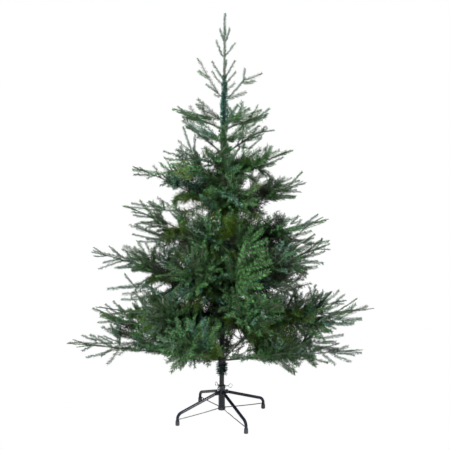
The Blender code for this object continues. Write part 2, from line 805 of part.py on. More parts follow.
def stem_mesh(name, points, radius, end_radius, upright_end=False):
    """A three-sided tapering twig along points; its first end can be made upright."""
    corners, faces = [], []
    last = len(points) - 1
    for i, point in enumerate(points):
        ahead = points[min(i + 1, last)] - points[max(i - 1, 0)]
        if upright_end and i == 0:
            ahead.z = 0
        across, up = prism_frame(ahead.normalized(), 0)
        corners += three_sided(point, radius + (end_radius - radius) * i / last, across, up)
    for i in range(last):
        for j in range(3):
            k = (j + 1) % 3
            faces.append((3 * i + j, 3 * i + k, 3 * i + 3 + k, 3 * i + 3 + j))
    faces += [(2, 1, 0), (3 * last, 3 * last + 1, 3 * last + 2)]
    return mesh_object(name, corners, faces)


def spray_mesh(spray):
    """A slim three-sided core on a bare neck, with its needle points raised from the core's sides."""
    across, up = spray_frame(spray)
    corners, faces = three_sided(spray.root, SPRAY_NECK * spray.scale, across, up), [(2, 1, 0)]
    for i in range(3):
        faces.append((i, (i + 1) % 3, (i + 1) % 3 + 3, i + 3))
    for share in segment_shares(spray)[:-1]:
        middle = spray.root.lerp(spray.tip, share)
        corners += three_sided(middle, SPRAY_CORE * spray.scale * (1.1 - 0.5 * share), across, up)
    tip = len(corners)
    corners += [spray.tip] + needle_points(spray)
    for i in range(spray.segments):
        for j in range(3):
            near, beside = 3 * i + 3 + j, 3 * i + 3 + (j + 1) % 3
            is_last = i + 1 == spray.segments
            ring = (near, beside, tip) if is_last else (near, beside, beside + 3, near + 3)
            point = tip + 1 + 3 * i + j
            faces += [(ring[n], ring[(n + 1) % len(ring)], point) for n in range(len(ring))]
    return mesh_object("spray", corners, faces)


def fused_mass(name, stem, sprays, paint):
    """One mass: the stem with every spray joined to it by one Boolean union."""
    shapes = [spray_mesh(spray) for spray in sprays]
    return place(combined(stem, shapes, "UNION", "MANIFOLD"), paint)


def make_tiers(paints):
    for number, boughs in enumerate(bough_spaces()):
        for i, (azimuth, reach, space) in enumerate(boughs):
            dice = random.Random(SEED + 100 * (number + 1) + i)
            tier = space.tier
            label = f"{number + 1}_{i + 1}"
            has_collar = number < COLLARED_TIERS
            hub = COLLAR_RADIUS if has_collar else pole_radius(tier.collar)
            first = (hub + FIT_GAP) / reach
            start = FIRST_SPRAY
            if number < BOUGHED_TIERS:
                first = make_bough(f"bough_{label}", azimuth, reach, tier, first, paints["bough"])
                start = first + LOOK_AHEAD
            points = [
                stem_point(tier, azimuth, reach, first + (STEM_END - first) * n / STEM_STEPS)
                for n in range(STEM_STEPS + 1)
            ]
            radius, end_radius = STEM_RADIUS * tier_scale(tier), STEM_TIP_RADIUS * tier_scale(tier)
            is_at_pole = number >= BOUGHED_TIERS
            stem = stem_mesh(f"needles_{label}", points, radius, end_radius, is_at_pole)
            sprays = sprays_of(space, azimuth, reach, start, dice)
            fused_mass(stem.name, stem, sprays, paints["needles"])


def make_bough(name, azimuth, reach, tier, first, paint):
    """A bare wire bough from the collar to where its mass begins, whose share it returns."""
    end = BARE_REACH / reach
    shares = [first + (end - first) * n / 4 for n in range(5)]
    points = [stem_point(tier, azimuth, reach, share) for share in shares]
    hook = polar(HOOK, azimuth, 0)
    points = [points[0], points[0] + hook] + points[1:]
    place(wire(name, points, BOUGH_RADIUS, BOUGH_TIP_RADIUS), paint)
    return end + FIT_GAP / reach


def make_leader(paint):
    """The leader: a stem on the pole's tip with short twigs that rise round it to the top."""
    foot = POLE_TOP + FIT_GAP

    def axis(height):
        return Vector((pole_axis(height), 0, height))

    points = [axis(foot + (LEADER_STEM_TOP - foot) * n / STEM_STEPS) for n in range(STEM_STEPS + 1)]
    stem = stem_mesh("needles_leader", points, POLE_TIP_RADIUS, LEADER_STEM_RADIUS)
    foot_of_spike = axis(LEADER_STEM_TOP - SPIKE_SUNK)
    sprays = [Spray(foot_of_spike, axis(TREE_HEIGHT), LEADER_HALF_WIDTH, 0.0, 3, LEADER_SCALE)]
    for height, azimuth, length, rise in LEADER_TWIGS:
        root = axis(height)
        tilt = math.radians(rise)
        direction = polar(math.cos(tilt), azimuth, math.sin(tilt))
        width = LEADER_HALF_WIDTH * min(1, length / LEADER_FULL_LENGTH)
        sprays.append(Spray(root, root + direction * length, width, azimuth, 2, LEADER_SCALE))
    fused_mass("needles_leader", stem, sprays, paint)


def main():
    for old in list(bpy.data.objects):
        bpy.data.objects.remove(old)
    paints = make_materials()
    make_pole(paints["pole"])
    make_stand(paints)
    make_tiers(paints)
    make_leader(paints["leader"])


main()
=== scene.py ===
"""The looks of an artificial Christmas tree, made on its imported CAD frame.

Flat branchlets of moulded needles and bottle-brush tips of cut strips grow where the CAD's masses
are, by the same seeded rule. Twigs that are set one by one make the leader, the outermost tips and
the fans at the front, and the gaps between the boughs are kept open. The stems are wrapped wire,
the pole and the folding stand are enamelled steel, and the stand's caps are moulded plastic.
Metres, +Z up, front at -Y.
"""

import math
import random
from collections import namedtuple

import bpy
import numpy as np
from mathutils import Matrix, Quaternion, Vector
from mathutils.kdtree import KDTree


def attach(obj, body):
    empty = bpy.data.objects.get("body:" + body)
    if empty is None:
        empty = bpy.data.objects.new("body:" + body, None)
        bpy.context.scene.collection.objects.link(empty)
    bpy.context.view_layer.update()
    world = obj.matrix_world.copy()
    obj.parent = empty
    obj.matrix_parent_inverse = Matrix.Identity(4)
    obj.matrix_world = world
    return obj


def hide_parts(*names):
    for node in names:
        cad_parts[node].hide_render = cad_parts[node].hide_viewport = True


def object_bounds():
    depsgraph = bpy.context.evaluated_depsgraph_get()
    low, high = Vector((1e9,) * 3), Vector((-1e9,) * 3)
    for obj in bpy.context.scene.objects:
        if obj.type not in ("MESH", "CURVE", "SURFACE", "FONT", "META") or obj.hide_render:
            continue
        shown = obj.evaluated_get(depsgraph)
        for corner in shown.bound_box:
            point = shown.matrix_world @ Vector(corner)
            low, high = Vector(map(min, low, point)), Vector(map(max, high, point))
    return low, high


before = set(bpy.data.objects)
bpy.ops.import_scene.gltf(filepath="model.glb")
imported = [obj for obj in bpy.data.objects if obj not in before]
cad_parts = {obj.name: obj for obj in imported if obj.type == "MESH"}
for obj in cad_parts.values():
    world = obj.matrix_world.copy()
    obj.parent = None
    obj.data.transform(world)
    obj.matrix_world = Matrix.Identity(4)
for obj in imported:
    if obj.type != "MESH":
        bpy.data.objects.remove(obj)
cad_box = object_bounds()
MASSES = [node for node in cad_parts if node.startswith("needles")]
BOUGHS = [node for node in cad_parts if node.startswith("bough")]
UP = Vector((0, 0, 1))
FRONT = Vector((0, -1, 0))


def mixed(near, far, share):
    return near + (far - near) * share


def add_object(name, data):
    made = bpy.data.objects.new(name, data)
    bpy.context.scene.collection.objects.link(made)
    return made


# ---------------------------------------------------------------- the camera and the studio
IMAGE_SIDE = 450  # pixels
FOCAL_LENGTH_PIXELS = 709.0
SENSOR_WIDTH = 36.0  # millimetres
VIEWER = Vector((0.015, -3.14, 1.20))  # in front of the tree, at chest height
CAMERA_PITCH = 5.8  # degrees below the horizontal
FLOOR_SIDE = 60.0
AMBIENT = 0.40  # light of the surroundings, which show as plain white

# A key light from the upper left, and weaker ones from the right and from behind. Each is square,
# stands at a place, faces a height on the pole, and has a side in metres and a power in watts.
Lamp = namedtuple("Lamp", "name place aim side power")
LAMPS = (
    Lamp("key", (-1.7, -3.2, 3.4), 0.9, 1.0, 600),
    Lamp("fill", (2.6, -2.4, 2.0), 0.8, 1.0, 210),
    Lamp("back", (0.6, 3.4, 2.8), 0.8, 1.2, 160),
)


def aim_camera():
    """A level camera at the viewer's place, looking a little down."""
    data = bpy.data.cameras.new("camera")
    data.sensor_width = SENSOR_WIDTH
    data.lens = FOCAL_LENGTH_PIXELS / IMAGE_SIDE * SENSOR_WIDTH
    camera = add_object("camera", data)
    camera.location = VIEWER
    camera.rotation_euler = (math.radians(90 - CAMERA_PITCH), 0, 0)
    bpy.context.scene.camera = camera


def add_lamp(lamp):
    data = bpy.data.lights.new(lamp.name, "AREA")
    data.size = lamp.side
    data.energy = lamp.power
    light = add_object(lamp.name, data)
    light.location = lamp.place
    towards = Vector((0, 0, lamp.aim)) - Vector(lamp.place)
    light.rotation_euler = towards.to_track_quat("-Z", "Y").to_euler()


def light_studio():
    """Surroundings that show as plain white and light the tree less, and the lamps."""
    world = bpy.data.worlds.new("studio")
    world.use_nodes = True
    background = world.node_tree.nodes["Background"]
    background.inputs["Color"].default_value = (1, 1, 1, 1)
    is_seen = add_node(world.node_tree, "ShaderNodeLightPath", {}).outputs["Is Camera Ray"]
    inputs = {"Value": is_seen, "To Min": AMBIENT, "To Max": 1.0}
    strength = add_node(world.node_tree, "ShaderNodeMapRange", inputs).outputs["Result"]
    world.node_tree.links.new(strength, background.inputs["Strength"])
    bpy.context.scene.world = world
    for lamp in LAMPS:
        add_lamp(lamp)
    bpy.context.scene.view_settings.view_transform = "Standard"


# ---------------------------------------------------------------- materials
NOISE_RANGE = {"From Min": 0.35, "From Max": 0.65}  # most of a pattern lies between these


def linear(code):
    """The linear RGBA colour of an sRGB hex value."""
    shares = [int(code[i : i + 2], 16) / 255 for i in (1, 3, 5)]
    return (*(s / 12.92 if s <= 0.04045 else ((s + 0.055) / 1.055) ** 2.4 for s in shares), 1.0)


def add_node(tree, kind, inputs):
    """Adds a node, and sets or links each named input."""
    node = tree.nodes.new(kind)
    for name, value in inputs.items():
        if isinstance(value, bpy.types.NodeSocket):
            tree.links.new(value, node.inputs[name])
        else:
            node.inputs[name].default_value = value
    return node


def pattern(tree, size, detail):
    """Noise with features of a real size in metres, on the object's own coordinates."""
    place = add_node(tree, "ShaderNodeTexCoord", {}).outputs["Object"]
    inputs = {"Vector": place, "Scale": 1 / size, "Detail": detail}
    return add_node(tree, "ShaderNodeTexNoise", inputs).outputs["Fac"]


def new_material(name, color, roughness, grain, gloss, detail=2.0, **inputs):
    """A material of one colour, whose roughness varies between two values over a grain of a size."""
    made = bpy.data.materials.new(name)
    made.use_nodes = True
    tree = made.node_tree
    shader = tree.nodes["Principled BSDF"]
    shader.inputs["Base Color"].default_value = linear(color)
    shader.inputs["Roughness"].default_value = roughness
    for socket, value in inputs.items():
        shader.inputs[socket.replace("_", " ")].default_value = value
    noise = {"Value": pattern(tree, grain, detail), "To Min": gloss[0], "To Max": gloss[1]}
    spread = add_node(tree, "ShaderNodeMapRange", NOISE_RANGE | noise)
    tree.links.new(spread.outputs["Result"], shader.inputs["Roughness"])
    return made


def with_bumps(made, size, height, strength, detail=2.0):
    """The material with bumps of a real size and height in metres."""
    tree = made.node_tree
    inputs = {"Height": pattern(tree, size, detail), "Distance": height, "Strength": strength}
    bump = add_node(tree, "ShaderNodeBump", inputs)
    tree.links.new(bump.outputs["Normal"], tree.nodes["Principled BSDF"].inputs["Normal"])
    return made


def moulded_needles(name, color, sheen=0.25):
    """Injection-moulded polyethylene: waxy, its gloss uneven where the mould was rubbed."""
    return new_material(name, color, 0.5, grain=0.012, gloss=(0.42, 0.62), Specular_IOR_Level=sheen)


def cut_strips(name, color):
    """PVC film cut into fringe: flat strips that catch the light here and there."""
    return new_material(name, color, 0.45, grain=0.020, gloss=(0.34, 0.60), Specular_IOR_Level=0.12)


def moulded_twigs(name, color):
    """The twigs that the needles are moulded on: matt, a little knobbly."""
    made = new_material(name, color, 0.7, grain=0.004, gloss=(0.6, 0.8))
    return with_bumps(made, 0.004, height=0.0004, strength=0.6)


def satin_enamel(name, color):
    """Baked enamel on steel tube: satin, with a faint orange peel."""
    made = new_material(name, color, 0.3, grain=0.030, gloss=(0.22, 0.36), Specular_IOR_Level=0.22)
    return with_bumps(made, 0.0022, height=0.00008, strength=0.5, detail=1.0)


def black_polypropylene(name, color):
    """Moulded polypropylene with a fine spark-eroded grain."""
    made = new_material(name, color, 0.55, grain=0.0008, gloss=(0.48, 0.62), detail=1.0)
    return with_bumps(made, 0.0008, height=0.00006, strength=0.6, detail=1.0)


def zinc_plate(name, color):
    """Bright zinc plating on steel: cloudy, with passivation blooms."""
    return new_material(name, color, 0.3, grain=0.005, gloss=(0.22, 0.42), Metallic=1.0)


def wrapped_tape(name, color):
    """Creased PVC tape wound round the wires."""
    made = new_material(name, color, 0.65, grain=0.003, gloss=(0.5, 0.8))
    return with_bumps(made, 0.003, height=0.0003, strength=0.8)


def floor_acrylic(name, color):
    """The studio's opal acrylic floor, lit from below until it shows as white as the walls."""
    made = new_material(name, color, 0.9, grain=0.5, gloss=(0.85, 0.95))
    tree = made.node_tree
    is_seen = add_node(tree, "ShaderNodeLightPath", {}).outputs["Is Camera Ray"]
    glow = add_node(tree, "ShaderNodeEmission", {"Color": (1, 1, 1, 1), "Strength": 1.0})
    lit = tree.nodes["Principled BSDF"].outputs["BSDF"]
    inputs = {0: is_seen, 1: lit, 2: glow.outputs["Emission"]}
    mixed_light = add_node(tree, "ShaderNodeMixShader", inputs).outputs["Shader"]
    tree.links.new(mixed_light, tree.nodes["Material Output"].inputs["Surface"])
    return made


def make_paints():
    """Every material of the tree and of the studio, by a short name."""
    return {
        # Painted shade: near-black needles mixed in among those of the lit kinds, standing for the
        # shade between them.
        "under": moulded_needles("painted_shade_needles", "#0a1909", 0.10),
        # Deep green needles: partly the tree's own darker green, partly painted shade, as they are
        # darkened and dealt out more often inside the crown and along the stems.
        "deep": moulded_needles("deep_green_and_painted_shade_needles", "#163212", 0.12),
        "mid": moulded_needles("mid_green_needles", "#3b6634"),
        "fresh": moulded_needles("fresh_green_needles", "#467546"),
        "blue": moulded_needles("blue_green_needles", "#3a6450"),
        "silver": moulded_needles("grey_green_needles", "#4f6b5c"),
        "olive": moulded_needles("olive_green_needles", "#3c561f"),
        # Dark strips: partly the darker of the tree's two strip greens, partly painted shade, darkened
        # nearly to black for the inside of the crown.
        "strip_dark": cut_strips("dark_green_and_painted_shade_strips", "#0c1209"),
        "strip_olive": cut_strips("olive_green_strips", "#2c400a"),
        "teal": cut_strips("teal_tinsel", "#15382f"),
        "mint": cut_strips("mint_tinsel", "#52806f"),
        "twig": moulded_twigs("brown_moulded_twigs", "#24251c"),
        "tape": wrapped_tape("brown_wound_tape", "#2c2a20"),
        "pole": satin_enamel("green_black_enamel", "#0b1013"),
        "stand": satin_enamel("blue_black_enamel", "#080e18"),
        "plastic": black_polypropylene("black_polypropylene", "#0e0e12"),
        "zinc": zinc_plate("zinc_plate", "#c4c5c7"),
        "floor": floor_acrylic("studio_acrylic", "#c8c8c8"),
    }


# ---------------------------------------------------------------- meshes from arrays
TOO_UPRIGHT = 0.9  # a path that starts this steeply has its rings squared to the front instead
RIDGE_SHARPNESS = 6


def surface(name, points, faces, material, smooth=False):
    """A mesh object at the origin from arrays of points and of triangles or quads."""
    points = np.asarray(points, np.float32)
    faces = np.asarray(faces, np.int32)
    mesh = bpy.data.meshes.new(name)
    mesh.vertices.add(len(points))
    mesh.vertices.foreach_set("co", points.ravel())
    mesh.loops.add(faces.size)
    mesh.loops.foreach_set("vertex_index", faces.ravel())
    mesh.polygons.add(len(faces))
    mesh.polygons.foreach_set("loop_start", np.arange(len(faces), dtype=np.int32) * faces.shape[1])
    mesh.update(calc_edges=True)
    mesh.validate()
    if smooth:
        mesh.shade_smooth()
    mesh.materials.append(material)
    return add_object(name, mesh)


def unit(vectors):
    return vectors / np.maximum(np.linalg.norm(vectors, axis=-1, keepdims=True), 1e-9)


def square_sides(ahead, up):
    """Across and up directions square to each of an array of directions."""
    across = unit(np.cross(ahead, up))
    return across, np.cross(across, ahead)


def ring_faces(rings, sides):
    """Triangles between the rings of one tube, and fans over its ends."""
    ring, side = np.meshgrid(np.arange(rings - 1), np.arange(sides), indexing="ij")
    near = (ring * sides + side).ravel()
    beside = (ring * sides + (side + 1) % sides).ravel()
    fan = np.arange(1, sides - 1)
    last = (rings - 1) * sides
    faces = (
        (near, beside, beside + sides),
        (near, beside + sides, near + sides),
        (np.zeros_like(fan), fan + 1, fan),
        (np.zeros_like(fan) + last, last + fan, last + fan + 1),
    )
    return np.concatenate([np.stack(corners, 1) for corners in faces])


def tube(path, radii, sides, ridge=0.0, turns=0.0):
    """Points and triangles of a round tube along points, with a ring square to the path at each.

    Where ridge is set, the radius grows by it along a helix of so many turns, as wound tape does.
    """
    path = np.array(path, np.float64)
    ahead = unit(np.gradient(path, axis=0))
    guide = UP if abs(ahead[0][2]) < TOO_UPRIGHT else -FRONT
    across, upward = square_sides(ahead, np.array(guide))
    angle = np.linspace(0, 2 * np.pi, sides, endpoint=False)
    share = np.linspace(0, 1, len(path))
    helix = np.cos(angle[None] - 2 * np.pi * turns * share[:, None])
    wound = ridge * np.maximum(0, helix) ** RIDGE_SHARPNESS
    radius = np.array(radii, np.float64).reshape(-1, 1) + wound
    offset = across[:, None] * np.cos(angle)[None, :, None]
    offset = offset + upward[:, None] * np.sin(angle)[None, :, None]
    points = path[:, None] + offset * radius[..., None]
    return points.reshape(-1, 3), ring_faces(len(path), sides)[:, ::-1]


def joined(parts):
    """One pair of arrays from several (points, faces)."""
    starts = np.cumsum([0] + [len(points) for points, _ in parts[:-1]])
    faces = [faces + start for (_, faces), start in zip(parts, starts)]
    return np.concatenate([points for points, _ in parts]), np.concatenate(faces)


def stand_for(piece, nodes):
    """Rides the piece on the root in place of CAD nodes, which it hides."""
    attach(piece, "root")
    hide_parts(*nodes)


# ---------------------------------------------------------------- the tree's layout, as in the source
TREE_HEIGHT = 1.80
POLE_FOOT = 0.0468
POLE_JOINT = 0.965
POLE_WRAPPED = 1.20
POLE_TOP = 1.43
POLE_STEP = 0.004  # height over which the pole's radius changes
LOWER_POLE_RADIUS = 0.0107
UPPER_POLE_RADIUS = 0.0082
WIRE_CORE_RADIUS = 0.0058
POLE_TIP_RADIUS = 0.0046
LEAN_PER_METRE = 0.009  # the pole leans to the right by this much for each metre of height
LEAN_FROM = 0.142
COLLAR_RADIUS = 0.0170
COLLAR_HALF_HEIGHT = 0.011
FIT_GAP = 0.0003  # between pieces that rest on one another

# For each tier: the height of its collar, its tips' reach and height on each side of the tree, how
# many boughs it has behind and in front, how far in degrees they are turned, and how many sprays of
# what length a bough carries.
Tip = namedtuple("Tip", "reach height")
Tier = namedtuple("Tier", "collar right rear left near behind front turn swing sprays length")
TIERS = (
    Tier(
        0.262, Tip(0.665, 0.285), Tip(0.60, 0.33), Tip(0.690, 0.365), Tip(0.61, 0.535),
        2, 2, 8, 0, 11, 0.21,
    ),
    Tier(
        0.410, Tip(0.670, 0.525), Tip(0.58, 0.54), Tip(0.600, 0.485), Tip(0.60, 0.665),
        1, 2, -10, 0, 11, 0.22,
    ),
    Tier(
        0.570, Tip(0.490, 0.790), Tip(0.52, 0.69), Tip(0.580, 0.770), Tip(0.52, 0.770),
        1, 2, 7, 0, 11, 0.23,
    ),
    Tier(
        0.760, Tip(0.465, 0.915), Tip(0.43, 0.88), Tip(0.450, 0.960), Tip(0.42, 0.900),
        1, 1, -9, -5, 10, 0.22,
    ),
    Tier(
        0.940, Tip(0.380, 1.068), Tip(0.35, 1.06), Tip(0.400, 1.145), Tip(0.35, 1.080),
        1, 1, 10, 0, 9, 0.20,
    ),
    Tier(
        1.070, Tip(0.292, 1.208), Tip(0.27, 1.20), Tip(0.262, 1.190), Tip(0.27, 1.200),
        1, 1, -12, 0, 8, 0.17,
    ),
    Tier(
        1.190, Tip(0.200, 1.308), Tip(0.20, 1.32), Tip(0.170, 1.318), Tip(0.20, 1.310),
        0, 1, 14, -15, 7, 0.14,
    ),
    Tier(
        1.300, Tip(0.200, 1.365), Tip(0.19, 1.40), Tip(0.218, 1.380), Tip(0.18, 1.400),
        1, 0, -16, 0, 7, 0.13,
    ),
)
COLLARED_TIERS = 4
BOUGHED_TIERS = 1
BARE_REACH = 0.165  # of the lowest tier's boughs, before their needles begin
BOUGH_RADIUS = 0.0032
BOUGH_TIP_RADIUS = 0.0025
BOUGH_POINTS = 5  # that a bare bough's bend needs
BOUGH_RINGS = 140
HOOK = 0.006  # length of the level end by which a bough hangs in the collar
ARCH = 0.25  # how much more steeply a stem rises at its foot
SHORTFALL = 0.10  # share of its tier's reach that a bough may fall short by
ROOF = 0.115  # of the topmost tier's space over its stems
FLOOR = 0.062  # of the lowest tier's space under its stems
KEEP_OUT = 0.0025  # from the sides of a mass's own space
STEM_END = 0.80  # shares of the reach, where stems end and sprays stand
STEM_POINTS = 9
FIRST_SPRAY = 0.20
LAST_SPRAY = 0.76
LOOK_AHEAD = 0.05  # share of the reach over which a stem's direction is taken
GOLDEN_ANGLE = 137.5
AROUND_SPREAD = 14.0  # degrees
FLATNESS = 0.88  # how far sprays stand up and down, against how far sideways
OPENING = 66.0  # degrees between a stem and a spray at its foot
TIP_OPENING = 24.0  # and at its tip
OPENING_SPREAD = 6.0
SPRAY_HALF_WIDTH = 0.086  # at the foot of the lowest tier's stems
SPRAY_TIP_HALF_WIDTH = 0.023  # and at their tips
BUSHY_SHARE = 0.36  # sprays further out than this have two segments, the others one
SPRAY_TAPER = 0.6  # share of its width that a spray loses towards its tip
LEAN = 1.05  # of the needle points towards the tip, in segments
TIP_LEAN = 0.6  # and of those of the last segment
NECK_SHARE = 0.20  # share of a spray that is bare
SHORTENING = 0.55  # share of their length that sprays lose towards a stem's tip
SHORTEST, LONGEST = 0.88, 1.08
SHRINK = 0.85  # what a spray that leaves its space is drawn in by, again and again
SHRINK_TRIES = 6
SEED = 2024
LEADER_STEM_TOP = 1.735
NEARLY_PARALLEL = 0.05  # to the up direction, as the sine of the angle
SAME_AZIMUTH = 0.01  # degrees
THREE_CORNERS = (math.pi / 2, math.pi * 11 / 6, math.pi * 7 / 6)

Space = namedtuple("Space", "tier below above left_edge right_edge")
Spray = namedtuple("Spray", "root tip share half_width roll segments", defaults=(0, 0, 0))


def polar(radius, azimuth, height):
    """A point from its radius, its azimuth in degrees and its height."""
    angle = math.radians(azimuth)
    return Vector((radius * math.cos(angle), radius * math.sin(angle), height))


def pole_axis(height):
    return LEAN_PER_METRE * (height - LEAN_FROM)


def pole_point(height):
    return Vector((pole_axis(height), 0, height))


def pole_radius(height):
    if height < POLE_JOINT:
        return LOWER_POLE_RADIUS
    if height < POLE_WRAPPED:
        return UPPER_POLE_RADIUS
    share = (height - POLE_WRAPPED) / (POLE_TOP - POLE_WRAPPED)
    return mixed(WIRE_CORE_RADIUS, POLE_TIP_RADIUS, min(share, 1))


def tip_at(tier, azimuth):
    """The tip's reach and height at an azimuth, mixed from the two of the four sides it is between."""
    angle = math.radians(azimuth)
    across, along = math.cos(angle), math.sin(angle)
    side = tier.right if across > 0 else tier.left
    end = tier.rear if along > 0 else tier.near
    return Tip(*(across**2 * a + along**2 * b for a, b in zip(side, end)))


def stem_height(tier, azimuth, radius):
    """Height of the tier's stems above the floor: an arch from the collar out to the tips."""
    tip = tip_at(tier, azimuth)
    along = radius / tip.reach
    bow = (1 + ARCH) * along - ARCH * along**2 if along < 1 else 1 + (1 - ARCH) * (along - 1)
    return mixed(tier.collar, tip.height, bow)


def square_to(ahead, up):
    """Across and up directions square to a twig."""
    across = ahead.cross(up)
    if across.length < NEARLY_PARALLEL:
        across = ahead.cross(-FRONT)
    across.normalize()
    return across, across.cross(ahead)


def turned(ahead, outward, opening):
    """The direction that opens outward from the one ahead by an angle in degrees."""
    angle = math.radians(opening)
    return (ahead * math.cos(angle) + outward * math.sin(angle)).normalized()


def stray(dice, most):
    return dice.uniform(-most, most)


class Stem(namedtuple("Stem", "tier azimuth reach")):
    """The stem of one bough, in a tier's arch at an azimuth."""

    def point(self, share):
        radius = self.reach * share
        level = stem_height(self.tier, self.azimuth, radius)
        return polar(radius, self.azimuth, level) + Vector((pole_axis(level), 0, 0))

    def path(self, first, last, count):
        return [self.point(share) for share in np.linspace(first, last, count)]

    def is_side(self):
        """True for the two boughs of a tier that reach out to the sides."""
        away = self.azimuth - self.tier.turn
        return min(abs(away), abs(away - 180)) < SAME_AZIMUTH

    def wound(self, shares, dice, flatness=1.0, lift=0.0):
        """At each share of the reach: the share, the point, and the directions ahead and outward.
        Outward turns round the stem by the golden angle, a little more or less."""
        around = dice.uniform(0, 360)
        for share in shares:
            root = self.point(share)
            ahead = (self.point(share + LOOK_AHEAD) - root).normalized()
            across, up = square_to(ahead, UP)
            around += GOLDEN_ANGLE + stray(dice, AROUND_SPREAD)
            turn = math.radians(around)
            outward = across * math.sin(turn) + up * (math.cos(turn) * flatness + lift)
            yield share, root, ahead, outward


def bough_azimuths(tier):
    found = [tier.turn, 180 + tier.turn]
    for first, count, swing in ((0, tier.behind, -tier.swing / 2), (180, tier.front, tier.swing)):
        for i in range(count):
            found.append(tier.turn + first + 180 * (i + 1) / (count + 1) + swing)
    return sorted(found)


def is_inside(space, point, margin):
    """True if a ball of that margin about the point keeps inside the mass's own space."""
    offset = Vector((point.x - pole_axis(point.z), point.y, 0))
    radius = offset.length
    if radius < pole_radius(point.z) + margin:
        return False
    azimuth = math.degrees(math.atan2(offset.y, offset.x))
    for edge, turn in ((space.left_edge, -1), (space.right_edge, 1)):
        away = math.radians(azimuth - edge) * turn
        if radius * math.sin(away) < margin and math.cos(away) > 0:
            return False
    own = stem_height(space.tier, azimuth, radius)
    low, high = own - FLOOR, own + ROOF
    if space.below is not None:
        low = (own + stem_height(space.below, azimuth, radius)) / 2
    if space.above is not None:
        high = (own + stem_height(space.above, azimuth, radius)) / 2
    return low + margin < point.z < high - margin


def bough_spaces():
    """For each tier, the stem and the space of each of its boughs."""
    dice = random.Random(SEED)
    levels = [None, *TIERS, None]
    found = []
    for below, tier, above in zip(levels, TIERS, levels[2:]):
        azimuths = bough_azimuths(tier)
        before = [azimuths[-1] - 360, *azimuths]
        after = [*azimuths[1:], azimuths[0] + 360]
        boughs = []
        for azimuth, right, left in zip(azimuths, before, after):
            stem = Stem(tier, azimuth, tip_at(tier, azimuth).reach)
            if not stem.is_side():
                stem = stem._replace(reach=stem.reach * (1 - dice.uniform(0, SHORTFALL)))
            space = Space(tier, below, above, (azimuth + left) / 2, (azimuth + right) / 2)
            boughs.append((stem, space))
        found.append(boughs)
    return found


def needle_points(spray):
    """The source's points that lean out and forward, one on each side of each segment."""
    direction = (spray.tip - spray.root).normalized()
    across = square_to(direction, UP)[0]
    across = (Quaternion(direction, math.radians(spray.roll)) @ across).normalized()
    up = direction.cross(across)
    step = (1 - NECK_SHARE) / spray.segments
    points = []
    for i in range(spray.segments):
        lean = TIP_LEAN if i + 1 == spray.segments else LEAN
        middle = spray.root.lerp(spray.tip, NECK_SHARE + step * (i + lean))
        bulge = spray.half_width * (1 - SPRAY_TAPER * i / spray.segments)
        for angle in THREE_CORNERS:
            points.append(middle - bulge * (across * math.cos(angle) + up * math.sin(angle)))
    return points


def fitted(space, spray):
    """The spray at its longest that keeps inside the space, or None."""
    for _ in range(SHRINK_TRIES):
        if all(is_inside(space, point, KEEP_OUT) for point in [spray.tip] + needle_points(spray)):
            return spray
        tip = spray.root.lerp(spray.tip, SHRINK)
        spray = spray._replace(tip=tip, half_width=spray.half_width * SHRINK)
    return None


def tier_scale(tier):
    """How stout a tier's stems and sprays are, against the lowest tier's."""
    return tier.length / TIERS[0].length


def spaced(first, last, count):
    """So many shares at an even spacing."""
    return [mixed(first, last, i / (count - 1)) for i in range(count)]


def sprays_of(stem, space, start, dice):
    """The source's seeded rule: a last spray at the stem's end, and others wound round the stem."""
    tier = stem.tier
    found = [Spray(stem.point(STEM_END), stem.point(1.0), 1.0)]
    shares = spaced(start, LAST_SPRAY, tier.sprays)
    for share, root, ahead, outward in stem.wound(shares, dice, FLATNESS):
        opening = mixed(OPENING, TIP_OPENING, share) + stray(dice, OPENING_SPREAD)
        length = tier.length * (1 - SHORTENING * share) * dice.uniform(SHORTEST, LONGEST)
        tip = root + turned(ahead, outward, opening) * length
        half_width = mixed(SPRAY_HALF_WIDTH, SPRAY_TIP_HALF_WIDTH, share) * tier_scale(tier)
        segments = 1 if share < BUSHY_SHARE else 2
        spray = Spray(root, tip, share, half_width, dice.uniform(0, 120), segments)
        found.append(fitted(space, spray))
    return [spray for spray in found if spray]


# ---------------------------------------------------------------- twigs that grow on from the rule
TWIG_RADIUS = 0.0019
TWIG_TIP_RADIUS = 0.0015
PAIR_GAP = 0.046  # between pairs of side twigs along a branchlet
FIRST_PAIR, LAST_PAIR = 0.10, 0.60  # shares of its length between which they stand
PAIR_SPREAD = 0.25
SIDE_SHARE = 0.62  # length of a side twig, as a share of the branchlet's
SIDE_TAPER = (1.1, 0.6)  # of that, at the branchlet's foot and at its tip
SIDE_OPENING = (28.0, 40.0)  # degrees between a side twig and its branchlet
SIDE_RISE = (-0.10, 0.16)  # how far a side twig leaves the branchlet's plane
BRANCHLET_BOW = (-0.02, 0.07)  # upwards, as a share of its length
BOW = 0.05  # of side twigs and bottle-brush tips
LENGTH_RANGE = (0.8, 1.1)
BRUSH_SHARE = 0.42  # sprays nearer the pole than this share of the reach may be bottle-brush tips
BRUSH_CHANCE = 0.5
BRUSH_OPENING = (30, 52)  # degrees between a bottle-brush tip and the two shorter ones beside it
BRUSH_RISE = 0.4
BRUSH_START = (0.05, 0.25)  # where along it they leave it
BRUSH_LENGTH = (0.55, 0.8)  # and how long they are, against it
OLIVE_CHANCE = 0.45  # that a bottle-brush tip is olive
MIXED_FROM = 1.0  # height above which most of them carry needles in place of strips
MIXED_CHANCE = 0.7
INNER_LENGTH = 0.125  # of the bottle-brush tips between the pole and a stem's first spray
INNER_SCALE = (0.4, 1)  # of that length, on the least tier and on the lowest one
INNER_SHARES = (0.05, 0.45)
INNER_OPENING = (50, 75)
EXTRA_OPENING = (26.0, 56.0)  # degrees between a spray and the finer ones that leave it
EXTRA_SPREAD = 25
EXTRA_START = (0.02, 0.35)
EXTRA_LENGTH = (0.65, 0.95)
